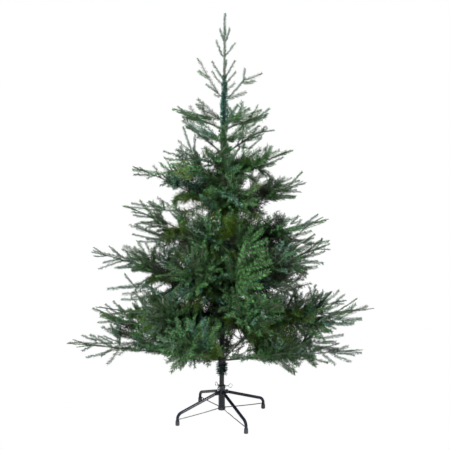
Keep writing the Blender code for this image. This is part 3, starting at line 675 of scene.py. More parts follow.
SLENDER_SHARE = 0.62  # sprays further out than this carry no finer ones
END_TILT = 0.8  # how far the flat side of a stem's last branchlet may turn from level
END_NEEDLE_SHARE = 0.95
STEM_TWIG_SHARES = (0.18, 0.66)
SIDE_TWIG_SHARE = 0.7  # on the side boughs they stop at this share of that
STEM_TWIG_SPREAD = 8
CLOTHED_LENGTHS = 4  # how many twigs' worth of needles follow one another along a stem
BUSHY_SPRAYS = 8  # tiers with as many sprays have strips at the foot of each stem
STEM_TWIG_LENGTHS = (1.0, 0.50)  # of the source's own at the pole and at the tip
FULL_NEEDLE = 0.0180  # length of the needles by the pole
TIP_NEEDLE = 0.0070  # and at a bough's tip
FULL_SHARE, TIP_SHARE = 0.35, 0.95  # shares of the reach between which they shorten
SIDE_NEEDLE = 0.95  # length of a side twig's needles and strips, against the middle twig's
BRUSH_SIDE_NEEDLE = 0.9
NEEDLE_GAP = 0.0010  # between needles along a twig
STRIP_LENGTH = 0.0290
STRIP_GAP = 0.00075
KINDS = ("deep", "mid", "fresh", "blue", "silver", "olive", "strip_dark", "strip_olive")
# Painted shade: nearer the pole more twigs carry the darker deep green needles than further out.
INNER_CHANCES = {"deep": 0.36, "mid": 0.34, "fresh": 0.16, "blue": 0.14}
OUTER_CHANCES = {"deep": 0.20, "mid": 0.30, "fresh": 0.14, "blue": 0.20, "silver": 0.16}

# For each tier: how many finer sprays leave one of the source's, the most pairs of side twigs on
# one, how many twigs are wound round a stem and how they open at its foot and at its tip in degrees,
# how many bottle-brush tips are wound round it, how far the finer ones rise, and what share of the
# source's own length its sprays keep.
Finer = namedtuple("Finer", "extras pairs stem_twigs openings inner_tips lift trim")
FINER = (
    Finer(3, 3, 14, (56, 28), 0, 0.40, 1.0),
    Finer(3, 3, 14, (56, 28), 8, 0.15, 1.0),
    Finer(3, 3, 14, (56, 28), 8, 0.15, 0.95),
    Finer(2, 2, 8, (46, 24), 8, 0.05, 0.84),
    Finer(2, 2, 6, (46, 24), 8, 0.05, 0.85),
    Finer(1, 1, 5, (40, 22), 6, 0.0, 0.9),
    Finer(0, 0, 4, (36, 20), 0, 0.0, 0.9),
    Finer(0, 0, 3, (36, 20), 0, 0.0, 0.9),
)
SKIRT = 0.250  # lowest that a twig's tip hangs beside the pole
SKIRT_RISE = 0.31  # and how much higher for each metre in front of it

# Twigs set one by one: on the leader, at the tips of the side boughs, and in fans at the front. Each
# was picked by hand in the camera's view, and a scratch script turned the places into millimetres.
# Each group lies at a depth behind the pole in metres. Each twig starts and ends at so many
# millimetres to the right of the pole's foot and above the floor, and has needles of a length in
# millimetres and of a kind.
SET_TWIGS = (
    (0.00, (
        (10, 1683, -7, 1736, 10, "silver"), (19, 1683, 36, 1738, 10, "silver"),
        (6, 1615, -24, 1687, 10, "silver"), (10, 1615, 60, 1675, 10, "silver"),
        (6, 1521, -42, 1598, 10, "silver"), (10, 1521, 60, 1600, 10, "deep"),
        (10, 1547, 21, 1602, 10, "silver"), (-3, 1491, -42, 1555, 10, "deep"),
        (15, 1499, 63, 1553, 10, "deep"), (-7, 1448, -103, 1611, 13, "deep"),
        (-55, 1525, -103, 1557, 13, "mid"), (-7, 1461, -68, 1499, 10, "silver"),
        (-7, 1443, -33, 1456, 10, "deep"), (19, 1469, 58, 1504, 13, "deep"),
        (24, 1435, 93, 1512, 10, "silver"), (89, 1508, 176, 1547, 13, "deep"),
        (93, 1517, 102, 1566, 10, "silver"), (80, 1499, 146, 1512, 13, "mid"),
        (28, 1435, 107, 1465, 14, "deep"),
    )),
    (0.03, (
        (-3, 1358, -106, 1437, 14, "deep"), (-3, 1345, -113, 1415, 14, "deep"),
        (-7, 1350, -219, 1393, 13, "mid"), (-60, 1354, -180, 1389, 14, "silver"),
        (-51, 1345, -175, 1358, 14, "deep"), (2, 1266, -171, 1345, 19, "blue"),
        (-16, 1262, -109, 1271, 14, "deep"), (-20, 1297, -96, 1341, 13, "blue"),
        (-34, 1275, -158, 1315, 13, "mid"),
    )),
    (-0.03, (
        (19, 1347, 71, 1407, 13, "silver"), (19, 1338, 175, 1383, 14, "mid"),
        (32, 1347, 123, 1390, 14, "mid"), (36, 1338, 158, 1360, 14, "deep"),
        (63, 1321, 197, 1360, 10, "silver"), (24, 1243, 119, 1334, 19, "deep"),
        (32, 1248, 149, 1334, 14, "mid"), (37, 1243, 167, 1317, 14, "deep"),
        (19, 1261, 93, 1325, 14, "mid"), (80, 1226, 197, 1317, 13, "deep"),
        (124, 1230, 176, 1269, 10, "silver"),
    )),
    (-0.02, (
        (-130, 1204, -168, 1315, 10, "silver"), (-121, 1204, -116, 1282, 10, "silver"),
        (-95, 1182, -191, 1252, 13, "deep"), (2, 1169, -77, 1222, 19, "deep"),
        (-77, 1178, -191, 1213, 10, "silver"), (-86, 1165, -256, 1209, 10, "silver"),
        (-121, 1165, -252, 1178, 13, "mid"), (-73, 1156, -156, 1200, 13, "deep"),
    )),
    (-0.05, (
        (80, 1178, 166, 1215, 19, "deep"), (115, 1152, 253, 1213, 13, "mid"),
        (149, 1152, 283, 1209, 13, "deep"), (180, 1170, 220, 1230, 10, "silver"),
        (158, 1139, 269, 1183, 10, "silver"), (141, 1131, 232, 1155, 14, "mid"),
        (132, 1092, 206, 1105, 13, "deep"), (63, 1165, 123, 1221, 13, "mid"),
    )),
    (-0.07, (
        (-154, 1110, -387, 1129, 13, "mid"), (-270, 1118, -323, 1092, 10, "silver"),
        (-145, 1101, -267, 1060, 10, "silver"), (-111, 1084, -240, 1084, 14, "deep"),
        (-145, 1079, -202, 1045, 10, "silver"), (-85, 1127, -214, 1148, 19, "fresh"),
        (-93, 1101, -197, 1118, 19, "strip_olive"), (-50, 1015, -176, 1010, 13, "deep"),
    )),
    (0.06, (
        (182, 1034, 236, 1090, 10, "silver"), (182, 1034, 317, 1090, 13, "deep"),
        (209, 1043, 353, 1077, 10, "silver"), (191, 1029, 340, 1034, 10, "silver"),
        (182, 1020, 334, 1002, 14, "mid"), (164, 1007, 282, 993, 14, "deep"),
    )),
    (0.07, (
        (-171, 929, -293, 999, 13, "deep"), (-203, 938, -220, 988, 10, "silver"),
        (-162, 942, -452, 961, 10, "mid"), (-257, 952, -334, 979, 14, "fresh"),
        (-280, 952, -411, 974, 10, "silver"), (-316, 906, -403, 920, 10, "silver"),
        (-235, 824, -294, 924, 10, "silver"), (-244, 814, -421, 876, 13, "deep"),
        (-235, 810, -390, 874, 14, "blue"), (-272, 805, -408, 833, 10, "silver"),
        (-280, 856, -367, 888, 10, "silver"), (-235, 833, -303, 892, 14, "deep"),
        (-258, 791, -390, 801, 10, "silver"), (-254, 805, -340, 814, 10, "deep"),
    )),
    (-0.07, (
        (-278, 717, -562, 776, 13, "deep"), (-440, 748, -479, 785, 10, "silver"),
        (-348, 765, -426, 798, 14, "deep"), (-344, 739, -433, 785, 14, "deep"),
        (-440, 743, -519, 723, 10, "silver"), (-370, 721, -467, 699, 10, "silver"),
        (-296, 703, -388, 690, 13, "deep"), (-313, 725, -392, 761, 13, "mid"),
    )),
    (-0.12, (
        (-383, 637, -419, 681, 10, "silver"), (-365, 637, -493, 615, 13, "silver"),
        (-309, 628, -448, 624, 10, "silver"), (-288, 611, -429, 593, 13, "deep"),
        (-292, 580, -392, 578, 13, "deep"), (-319, 567, -435, 571, 10, "silver"),
        (-245, 611, -352, 637, 14, "blue"),
    )),
    (0.10, (
        (-380, 388, -602, 483, 13, "mid"), (-445, 431, -566, 445, 14, "fresh"),
        (-454, 436, -542, 502, 10, "silver"), (-454, 455, -504, 516, 10, "silver"),
        (-422, 436, -481, 497, 10, "silver"), (-380, 426, -426, 483, 10, "silver"),
        (-375, 426, -402, 516, 13, "silver"), (-492, 417, -578, 417, 10, "silver"),
        (-418, 364, -530, 388, 13, "strip_dark"), (-400, 345, -511, 360, 13, "strip_dark"),
    )),
    (-0.09, (
        (-280, 386, -676, 371, 13, "deep"), (-548, 378, -613, 404, 10, "silver"),
        (-544, 373, -615, 333, 10, "silver"), (-337, 369, -491, 337, 13, "deep"),
        (-483, 337, -598, 303, 10, "silver"), (-496, 346, -531, 308, 10, "silver"),
        (-385, 378, -474, 351, 10, "silver"), (-376, 373, -456, 314, 13, "deep"),
        (-482, 378, -543, 400, 10, "silver"), (-218, 351, -385, 355, 19, "blue"),
        (-218, 333, -337, 328, 14, "deep"), (-122, 319, -245, 287, 19, "deep"),
        (-130, 305, -201, 260, 19, "deep"),
    )),
    (0.09, (
        (375, 305, 655, 272, 13, "silver"), (449, 291, 530, 217, 13, "silver"),
        (496, 267, 604, 231, 13, "silver"), (496, 281, 589, 303, 13, "silver"),
        (393, 329, 533, 324, 14, "blue"), (374, 319, 543, 291, 14, "silver"),
        (402, 343, 567, 358, 13, "silver"), (365, 367, 509, 381, 14, "mid"),
    )),
    (-0.30, (
        (223, 380, 302, 302, 19, "deep"), (313, 409, 388, 333, 19, "deep"),
        (248, 388, 322, 329, 13, "mid"),
    )),
    (-0.11, (
        (420, 463, 636, 541, 13, "deep"), (498, 499, 584, 547, 13, "mid"),
        (489, 490, 611, 481, 13, "silver"), (437, 459, 577, 461, 13, "blue"),
        (446, 468, 499, 436, 10, "silver"), (420, 481, 502, 516, 10, "silver"),
        (393, 499, 512, 543, 10, "silver"), (419, 543, 511, 607, 13, "deep"),
        (488, 569, 535, 587, 10, "silver"), (449, 552, 462, 589, 13, "deep"),
        (306, 552, 440, 594, 13, "deep"),
    )),
    (-0.16, (
        (309, 575, 403, 621, 13, "deep"), (223, 614, 383, 649, 13, "strip_dark"),
        (254, 588, 334, 640, 10, "strip_dark"), (266, 610, 371, 722, 10, "strip_dark"),
        (304, 658, 363, 696, 13, "strip_dark"), (316, 731, 409, 744, 10, "silver"),
        (291, 705, 408, 720, 14, "deep"),
    )),
    (0.06, (
        (367, 719, 471, 756, 10, "silver"), (384, 751, 471, 779, 10, "silver"),
        (375, 783, 488, 800, 13, "mid"), (370, 793, 424, 834, 10, "silver"),
        (338, 783, 406, 813, 10, "silver"), (294, 719, 411, 793, 19, "fresh"),
        (312, 705, 421, 751, 14, "fresh"),
    )),
    (-0.07, (
        (268, 787, 385, 897, 13, "strip_dark"), (228, 840, 454, 910, 13, "mid"),
        (220, 849, 354, 888, 14, "fresh"), (328, 879, 347, 912, 10, "silver"),
        (245, 893, 336, 927, 13, "silver"), (250, 897, 275, 938, 10, "silver"),
        (211, 893, 250, 927, 10, "silver"), (198, 901, 245, 951, 13, "deep"),
    )),
    (-0.22, (
        (-215, 673, -265, 732, 26, "strip_dark"), (-190, 664, -223, 749, 26, "strip_dark"),
        (-173, 690, -190, 765, 26, "strip_dark"), (-149, 656, -173, 732, 26, "strip_dark"),
        (-236, 707, -298, 732, 22, "strip_dark"),
    )),
    (0.02, (
        (-362, 362, -444, 399, 22, "strip_dark"), (-344, 353, -417, 362, 22, "strip_dark"),
        (-349, 380, -425, 427, 22, "strip_dark"),
    )),
    (-0.34, (
        (139, 399, 163, 498, 24, "strip_olive"), (163, 391, 195, 490, 24, "strip_olive"),
        (188, 383, 236, 466, 24, "strip_olive"), (131, 408, 123, 490, 24, "strip_olive"),
        (204, 408, 252, 482, 18, "deep"), (147, 449, 187, 523, 22, "strip_olive"),
        (228, 391, 276, 449, 22, "strip_olive"),
    )),
    (-0.16, (
        (-307, 418, -332, 523, 22, "strip_olive"), (-282, 427, -298, 541, 22, "strip_olive"),
        (-265, 401, -316, 462, 22, "strip_olive"), (-238, 445, -263, 549, 20, "strip_olive"),
    )),
    (-0.05, (
        (375, 444, 410, 489, 18, "strip_olive"), (393, 435, 419, 471, 16, "strip_olive"),
    )),
    (-0.40, (
        (-54, 376, -77, 449, 20, "strip_olive"), (-30, 376, -22, 449, 20, "strip_olive"),
    )),
    (-0.46, (
        (55, 701, 185, 751, 20, "mid"), (55, 708, 162, 813, 20, "mid"),
        (51, 716, 97, 859, 20, "mid"), (59, 693, 159, 693, 19, "mid"),
        (47, 712, 24, 813, 19, "deep"), (70, 755, 193, 786, 18, "mid"),
        (63, 677, 124, 638, 18, "mid"),
    )),
    (-0.48, (
        (86, 545, 230, 631, 20, "deep"), (86, 557, 169, 654, 20, "fresh"),
        (86, 557, 104, 650, 19, "mid"), (93, 537, 238, 576, 20, "deep"),
        (82, 561, 59, 642, 18, "deep"),
    )),
    (-0.46, (
        (-60, 434, -122, 552, 20, "blue"), (-56, 434, -68, 568, 20, "blue"),
        (-53, 434, -14, 552, 20, "mid"), (-68, 434, -168, 513, 20, "deep"),
        (-72, 426, -199, 465, 20, "deep"), (-68, 418, -192, 418, 19, "mid"),
    )),
    (-0.36, (
        (-38, 746, -125, 754, 19, "deep"), (-38, 754, -117, 802, 19, "mid"),
        (-38, 762, -77, 842, 18, "mid"), (-30, 730, -102, 698, 18, "deep"),
    )),
    (-0.30, (
        (-14, 980, -87, 1028, 18, "blue"), (-10, 988, -46, 1060, 18, "mid"),
        (-6, 984, 18, 1068, 18, "deep"), (-14, 972, -95, 984, 17, "deep"),
        (2, 980, 66, 1036, 17, "deep"),
    )),
    (-0.20, (
        (26, 1097, 76, 1146, 17, "mid"), (18, 1105, 26, 1171, 17, "deep"),
        (35, 1089, 109, 1105, 17, "deep"),
    )),
    (-0.07, (
        (2, 290, -47, 372, 18, "strip_olive"), (2, 290, -74, 327, 18, "strip_olive"),
        (11, 318, -29, 422, 20, "strip_dark"), (20, 322, 50, 408, 20, "strip_dark"),
        (2, 345, 28, 458, 22, "strip_dark"), (-3, 372, -38, 476, 22, "strip_dark"),
        (11, 286, 46, 349, 16, "strip_olive"), (-3, 281, -34, 322, 16, "strip_olive"),
        (28, 377, 64, 440, 14, "deep"), (2, 277, -20, 359, 18, "strip_dark"),
        (15, 277, 33, 349, 16, "strip_dark"),
    )),
    (-0.03, (
        (29, 288, 109, 361, 8, "strip_dark"), (47, 311, 101, 338, 8, "deep"),
        (82, 361, 47, 398, 8, "strip_dark"), (100, 375, 73, 412, 8, "strip_dark"),
        (29, 343, 74, 334, 8, "deep"), (38, 274, 110, 311, 9, "strip_olive"),
        (65, 292, 83, 334, 8, "deep"), (109, 343, 82, 384, 9, "strip_dark"),
        (114, 311, 127, 348, 9, "deep"),
    )),
    (-0.36, (
        (-31, 372, -103, 405, 18, "deep"), (-23, 364, -63, 430, 17, "mid"),
        (-87, 372, -167, 413, 18, "deep"),
    )),
    (0.00, (
        (5, 204, 5, 265, 21, "strip_dark"), (5, 202, 5, 251, 24, "strip_dark"),
        (5, 256, 4, 312, 17, "strip_dark"),
    )),
    (0.06, (
        (-376, 398, -540, 464, 17, "fresh"), (-376, 384, -504, 431, 18, "mid"),
        (-385, 408, -476, 487, 15, "mid"), (-357, 408, -434, 487, 16, "deep"),
        (-367, 361, -486, 403, 19, "strip_dark"), (-376, 356, -505, 379, 13, "deep"),
        (-348, 412, -393, 501, 15, "deep"), (-440, 426, -559, 473, 12, "mid"),
        (-339, 379, -430, 450, 17, "fresh"),
    )),
    (0.04, (
        (74, 963, 208, 981, 20, "strip_dark"), (74, 945, 182, 954, 17, "strip_dark"),
        (110, 981, 271, 1003, 14, "deep"), (83, 990, 208, 1026, 18, "strip_dark"),
        (65, 936, 137, 931, 13, "strip_dark"),
    )),
    (-0.04, (
        (-42, 1008, -173, 1021, 16, "deep"), (-68, 1048, -147, 1065, 18, "strip_olive"),
        (-59, 1065, -129, 1039, 16, "strip_olive"), (2, 1135, -68, 1209, 17, "strip_olive"),
        (-7, 1144, -59, 1204, 14, "mid"),
    )),
    (-0.05, (
        (339, 467, 485, 521, 16, "deep"), (348, 453, 508, 485, 15, "mid"),
        (366, 439, 499, 453, 14, "deep"), (357, 494, 454, 543, 14, "deep"),
        (472, 476, 583, 512, 13, "silver"), (349, 417, 482, 435, 14, "deep"),
        (517, 462, 619, 467, 13, "mid"), (482, 444, 588, 448, 13, "silver"),
    )),
    (-0.02, (
        (241, 825, 400, 856, 13, "mid"), (277, 807, 409, 825, 12, "deep"),
    )),
    # Painted shade: a clump of the near-black strips, set forward where the crown is in its deepest
    # shade.
    (-0.40, (
        (197, 689, 181, 776, 24, "strip_dark"), (221, 681, 240, 769, 24, "strip_dark"),
        (182, 713, 162, 784, 22, "strip_dark"), (244, 705, 267, 772, 22, "strip_dark"),
        (213, 721, 212, 812, 24, "strip_dark"), (189, 753, 228, 820, 22, "strip_dark"),
        (236, 745, 283, 796, 20, "strip_dark"), (158, 673, 189, 729, 22, "strip_dark"),
    )),
    (-0.27, (
        (67, 896, 42, 949, 20, "strip_olive"), (83, 896, 103, 957, 20, "strip_olive"),
        (107, 896, 148, 953, 18, "strip_olive"), (124, 888, 176, 933, 18, "deep"),
        (50, 888, 18, 933, 20, "strip_olive"), (99, 904, 115, 962, 17, "deep"),
    )),
    (-0.34, (
        (73, 824, 121, 912, 19, "mid"), (73, 824, 164, 896, 19, "mid"),
        (73, 819, 185, 856, 18, "fresh"), (69, 828, 73, 920, 19, "deep"),
        (77, 815, 177, 815, 17, "mid"),
    )),
    (-0.12, (
        (-76, 470, -46, 563, 22, "strip_dark"), (-33, 470, -68, 571, 22, "strip_dark"),
        (-55, 461, -24, 549, 20, "strip_dark"),
    )),
    (-0.12, (
        (-311, 434, -354, 527, 15, "olive"), (-307, 443, -323, 541, 15, "olive"),
        (-298, 443, -293, 532, 14, "olive"), (-329, 426, -367, 496, 14, "olive"),
    )),
    (0.04, (
        (-483, 427, -551, 468, 12, "olive"), (-464, 441, -528, 487, 12, "olive"),
        (-365, 375, -515, 403, 20, "deep"), (-365, 361, -497, 375, 20, "deep"),
        (-373, 394, -487, 431, 20, "strip_dark"),
    )),
    (-0.38, (
        (-14, 386, -70, 439, 15, "olive"), (-22, 374, -82, 407, 15, "olive"),
        (-30, 386, -46, 452, 14, "olive"), (2, 395, -26, 460, 14, "olive"),
        (10, 386, -14, 435, 13, "olive"),
    )),
    (-0.12, (
        (358, 474, 401, 514, 14, "olive"), (353, 470, 401, 488, 13, "olive"),
        (121, 1047, 159, 1086, 13, "olive"), (125, 1043, 176, 1064, 13, "olive"),
        (-126, 1090, -189, 1149, 14, "olive"), (-122, 1098, -160, 1166, 14, "olive"),
        (-134, 1081, -202, 1120, 13, "olive"),
    )),
    (0.02, (
        (230, 283, 336, 198, 19, "mid"), (348, 315, 432, 236, 19, "mid"),
    )),
)
SET_DEPTH_SPREAD = 0.022  # how far a set twig's tip strays from its group's depth
LEADER_SPREAD = 0.9  # how far it does on the leader, as a share of how far it reaches sideways
FAN_DEPTH = -0.25  # the groups in front of this are fans
ROOT_DEPTH = 0.11  # of a fan's twigs, behind their tips
TIP_DEPTH = 0.5  # how much deeper the tips are for each metre that they rise
SET_SAG = Vector((0, 0, -0.05))  # how a set twig bends, as a share of its length
SET_FACING = Vector((0, -1, 0.3))  # where its flat side faces
SET_FACING_SPREAD = 0.4
SET_NEEDLE_GAP = 0.00070
SPARSE_GAP = 0.00110  # on set twigs with short needles
SHORT_NEEDLE = 13  # millimetres
LEADER_NEEDLE = 0.0105
LEADER_GAP = 0.0008
LEADER_BRISTLES = ((LEADER_STEM_TOP - 0.03, TREE_HEIGHT), (1.52, LEADER_STEM_TOP))
TWIG_POINTS = 13  # looked at along a twig
LOOSE_GAP = 0.007  # a twig that starts further than this from all others is loose

# Gaps that stay open between the boughs, picked and turned into millimetres in the same way. Each
# is an ellipse on the upright plane through the pole: its middle to the right of the pole's foot and
# above the floor, and its half sizes, in millimetres. It reaches through the tree along the lines
# that lead to the viewer's place.
OPEN_GAPS = (
    (-348, 1032, 136, 35), (-238, 1015, 48, 18), (348, 966, 145, 35), (206, 961, 57, 18),
    (-375, 651, 57, 22), (-500, 651, 84, 31), (-250, 606, 31, 18), (-511, 556, 62, 22),
    (-370, 284, 106, 26), (74, 353, 40, 62), (-34, 1134, 22, 18), (-42, 1235, 40, 18),
    (-192, 1283, 44, 26), (50, 1305, 26, 22), (151, 1244, 35, 18), (245, 1121, 53, 22),
    (-60, 1318, 26, 13), (604, 362, 57, 31), (478, 619, 57, 35), (429, 859, 40, 22),
    (-324, 787, 26, 13), (-230, 890, 31, 22), (-247, 926, 22, 18), (-161, 1287, 35, 18),
    (-177, 701, 13, 13), (-301, 441, 18, 13), (-229, 404, 18, 13), (-75, 501, 13, 13),
    (96, 560, 22, 13), (240, 583, 18, 13), (182, 432, 18, 13), (-309, 970, 4, 4),
    (108, 1063, 18, 13), (275, 1156, 26, 18), (-263, 1182, 22, 13), (-223, 1187, 18, 13),
    (-86, 1239, 22, 22), (-437, 669, 31, 18), (-371, 615, 22, 13), (-430, 528, 26, 18),
    (-461, 298, 44, 18), (-284, 242, 26, 18), (211, 237, 40, 13), (115, 237, 106, 22),
    (-140, 975, 57, 18), (-193, 1032, 26, 18), (331, 935, 62, 18), (-469, 353, 26, 13),
    (-410, 330, 26, 13), (-533, 325, 31, 13), (429, 242, 44, 18), (465, 279, 31, 13),
    (437, 339, 31, 9), (-448, 578, 18, 13), (-394, 542, 26, 13), (358, 908, 26, 13),
    (-113, 1134, 13, 9), (193, 209, 53, 13),
)
GAP_TESTS = (0.4, 0.7, 1.0)  # shares of a twig's length that have to keep out of the gaps

# Each twig is a quadratic curve: where it starts, the point it bends towards, where it ends and the
# direction that its flat side faces. Needle and gap are the length and spacing of its needles.
Twig = namedtuple("Twig", "start bend end up needle gap")


def is_open(point):
    """True in one of the gaps between the boughs."""
    place = VIEWER + (point - VIEWER) * (VIEWER.y / (VIEWER.y - point.y))
    x, z = place.x * 1000, place.z * 1000
    return any(
        ((x - middle_x) / half_x) ** 2 + ((z - middle_z) / half_z) ** 2 < 1
        for middle_x, middle_z, half_x, half_z in OPEN_GAPS
    )


class Growth:
    """The twigs grown so far, by the kind of needles that they carry."""

    def __init__(self):
        self.twigs = {kind: [] for kind in KINDS}

    def set(self, kind, start, end, up, bow, needle, gap):
        middle = (start + end) / 2 + bow
        self.twigs[kind].append(Twig(start, middle, end, up, needle, gap))

    def add(self, kind, start, end, up, bow, needle, gap):
        """Sets a twig unless it would grow into a gap."""
        if not any(is_open(start.lerp(end, share)) for share in GAP_TESTS):
            self.set(kind, start, end, up, bow, needle, gap)


def needle_length(share):
    """Length of the needles at a share of the reach."""
    along = (share - FULL_SHARE) / (TIP_SHARE - FULL_SHARE)
    return mixed(FULL_NEEDLE, TIP_NEEDLE, min(max(along, 0), 1))


def hangs_below(point):
    """True below the skirt, which rises towards the front."""
    return point.z < SKIRT + SKIRT_RISE * max(-point.y, 0)


def fir_branchlet(growth, kind, root, tip, up, pairs, share, dice):
    """A flat branchlet: a middle twig, and pairs of side twigs that bend forward in its plane."""
    length = (tip - root).length
    ahead = (tip - root) / length
    across, up = square_to(ahead, up)
    if hangs_below(tip):
        return
    needle = needle_length(share)
    bow = up * length * dice.uniform(*BRANCHLET_BOW)
    growth.add(kind, root, tip, up, bow, needle, NEEDLE_GAP)
    for i in range(pairs):
        for side in (-across, across):
            part = mixed(FIRST_PAIR, LAST_PAIR, (i + 0.5 + stray(dice, PAIR_SPREAD)) / pairs)
            start = root.lerp(tip, part)
            out = turned(ahead, side, dice.uniform(*SIDE_OPENING))
            out = (out + up * dice.uniform(*SIDE_RISE)).normalized()
            reach = length * SIDE_SHARE * mixed(*SIDE_TAPER, part) * dice.uniform(*LENGTH_RANGE)
            end, bow = start + out * reach, side * reach * BOW
            growth.add(kind, start, end, up, bow, needle * SIDE_NEEDLE, NEEDLE_GAP)


def pairs_on(root, tip, finer):
    """How many pairs of side twigs a branchlet has."""
    return min(finer.pairs, round((tip - root).length * (LAST_PAIR - FIRST_PAIR) / PAIR_GAP))


def brush_tip(growth, kind, root, tip, dice):
    """A bottle-brush tip: a wire that bends a little, with two shorter ones from its foot."""
    length = (tip - root).length
    ahead = (tip - root) / length
    across, up = square_to(ahead, UP)
    growth.add(kind, root, tip, up, up * length * BOW, STRIP_LENGTH, STRIP_GAP)
    strip = STRIP_LENGTH * BRUSH_SIDE_NEEDLE
    for side in (-across, across):
        out = turned(ahead, side, dice.uniform(*BRUSH_OPENING))
        out = (out + up * stray(dice, BRUSH_RISE)).normalized()
        start = root.lerp(tip, dice.uniform(*BRUSH_START))
        reach = length * dice.uniform(*BRUSH_LENGTH)
        growth.add(kind, start, start + out * reach, up, up * reach * BOW, strip, STRIP_GAP)


def extra_sprays(spray, count, lift, dice):
    """Finer sprays that leave a spray near its foot, all round it."""
    length = (spray.tip - spray.root).length
    ahead = (spray.tip - spray.root) / length
    across, up = square_to(ahead, UP)
    turn = dice.uniform(0, 360)
    found = []
    for _ in range(count):
        turn += 360 / count + stray(dice, EXTRA_SPREAD)
        around = math.radians(turn)
        outward = across * math.cos(around) + up * (math.sin(around) + lift)
        out = turned(ahead, outward, dice.uniform(*EXTRA_OPENING))
        start = spray.root.lerp(spray.tip, dice.uniform(*EXTRA_START))
        found.append((start, start + out * length * dice.uniform(*EXTRA_LENGTH)))
    return found


def strip_kind(dice, height):
    """Strips, mixed with needles in the upper tiers."""
    if height > MIXED_FROM and dice.random() < MIXED_CHANCE:
        return "deep"
    return "strip_olive" if dice.random() < OLIVE_CHANCE else "strip_dark"


def fir_kind(share, dice):
    chances = OUTER_CHANCES if share > SLENDER_SHARE else INNER_CHANCES
    return dice.choices(list(chances), list(chances.values()))[0]


def is_in_box(point):
    low, high = cad_box
    return all(low[i] < point[i] < high[i] for i in range(3))


def any_way(dice):
    return Vector([dice.gauss(0, 1) for _ in range(3)]).normalized()


def grow_spray(growth, spray, finer, dice):
    """The finer twigs of one of the source's sprays."""
    kind = fir_kind(spray.share, dice)
    pairs = pairs_on(spray.root, spray.tip, finer)
    if spray.share == 1.0:
        up = Vector((stray(dice, END_TILT), stray(dice, END_TILT), 1)).normalized()
        fir_branchlet(growth, kind, spray.root, spray.tip, up, 1, END_NEEDLE_SHARE, dice)
        return
    spray = spray._replace(tip=spray.root.lerp(spray.tip, finer.trim))
    if spray.share > SLENDER_SHARE:
        fir_branchlet(growth, kind, spray.root, spray.tip, any_way(dice), 0, spray.share, dice)
        return
    if finer.inner_tips and spray.share < BRUSH_SHARE and dice.random() < BRUSH_CHANCE:
        kind = strip_kind(dice, spray.root.z)
        brush_tip(growth, kind, spray.root, spray.tip, dice)
        for start, end in extra_sprays(spray, 2, finer.lift, dice):
            brush_tip(growth, kind, start, end, dice)
        return
    fir_branchlet(growth, kind, spray.root, spray.tip, any_way(dice), pairs, spray.share, dice)
    for start, end in extra_sprays(spray, finer.extras, finer.lift, dice):
        if is_in_box(end):
            pairs = pairs_on(start, end, finer)
            fir_branchlet(growth, kind, start, end, any_way(dice), pairs, spray.share, dice)


def grow_inner_tips(growth, stem, finer, dice):
    """Bottle-brush tips wound round the stem where the source's sprays haven't begun."""
    shares = spaced(*INNER_SHARES, finer.inner_tips)
    for _, root, ahead, outward in stem.wound(shares, dice):
        out = turned(ahead, outward, dice.uniform(*INNER_OPENING))
        length = INNER_LENGTH * mixed(*INNER_SCALE, tier_scale(stem.tier))
        length *= dice.uniform(*LENGTH_RANGE)
        brush_tip(growth, strip_kind(dice, root.z), root, root + out * length, dice)


def grow_stem_twigs(growth, stem, finer, dice):
    """Branchlets wound round the outer half of a stem, shorter towards its tip."""
    first, last = STEM_TWIG_SHARES
    if stem.is_side():
        last = mixed(first, last, SIDE_TWIG_SHARE)
    shares = spaced(first, last, finer.stem_twigs)
    for share, root, ahead, outward in stem.wound(shares, dice, lift=finer.lift):
        opening = mixed(*finer.openings, share) + stray(dice, STEM_TWIG_SPREAD)
        length = stem.tier.length * mixed(*STEM_TWIG_LENGTHS, share) * dice.uniform(*LENGTH_RANGE)
        tip = root + turned(ahead, outward, opening) * length
        kind, pairs = fir_kind(share, dice), pairs_on(root, tip, finer)
        fir_branchlet(growth, kind, root, tip, any_way(dice), pairs, share, dice)


def clothe_stem(growth, stem, first):
    """Needles along a stem, from where its mass begins to its end."""
    shares = np.linspace(first, STEM_END, CLOTHED_LENGTHS + 1)
    for near, far in zip(shares, shares[1:]):
        has_strips = near < BRUSH_SHARE and stem.tier.sprays >= BUSHY_SPRAYS
        # Painted shade: the needles along the stems, inside the crown, are of the dark kinds.
        kind = "strip_dark" if has_strips else "deep"
        start, end, needle = stem.point(near), stem.point(far), needle_length(near)
        growth.set(kind, start, end, UP, Vector(), needle, NEEDLE_GAP)


def bare_bough(stem, first):
    """Points along a bare bough, from its level hook in the collar to where its mass begins."""
    corners = stem.path(first, BARE_REACH / stem.reach, BOUGH_POINTS)
    corners.insert(1, corners[0] + polar(HOOK, stem.azimuth, 0))
    corners = np.array(corners, np.float64)
    steps = np.linalg.norm(np.diff(corners, axis=0), axis=1)
    along = np.concatenate([[0.0], np.cumsum(steps)])
    places = np.linspace(0, along[-1], BOUGH_RINGS)
    return np.stack([np.interp(places, along, corners[:, axis]) for axis in range(3)], 1)


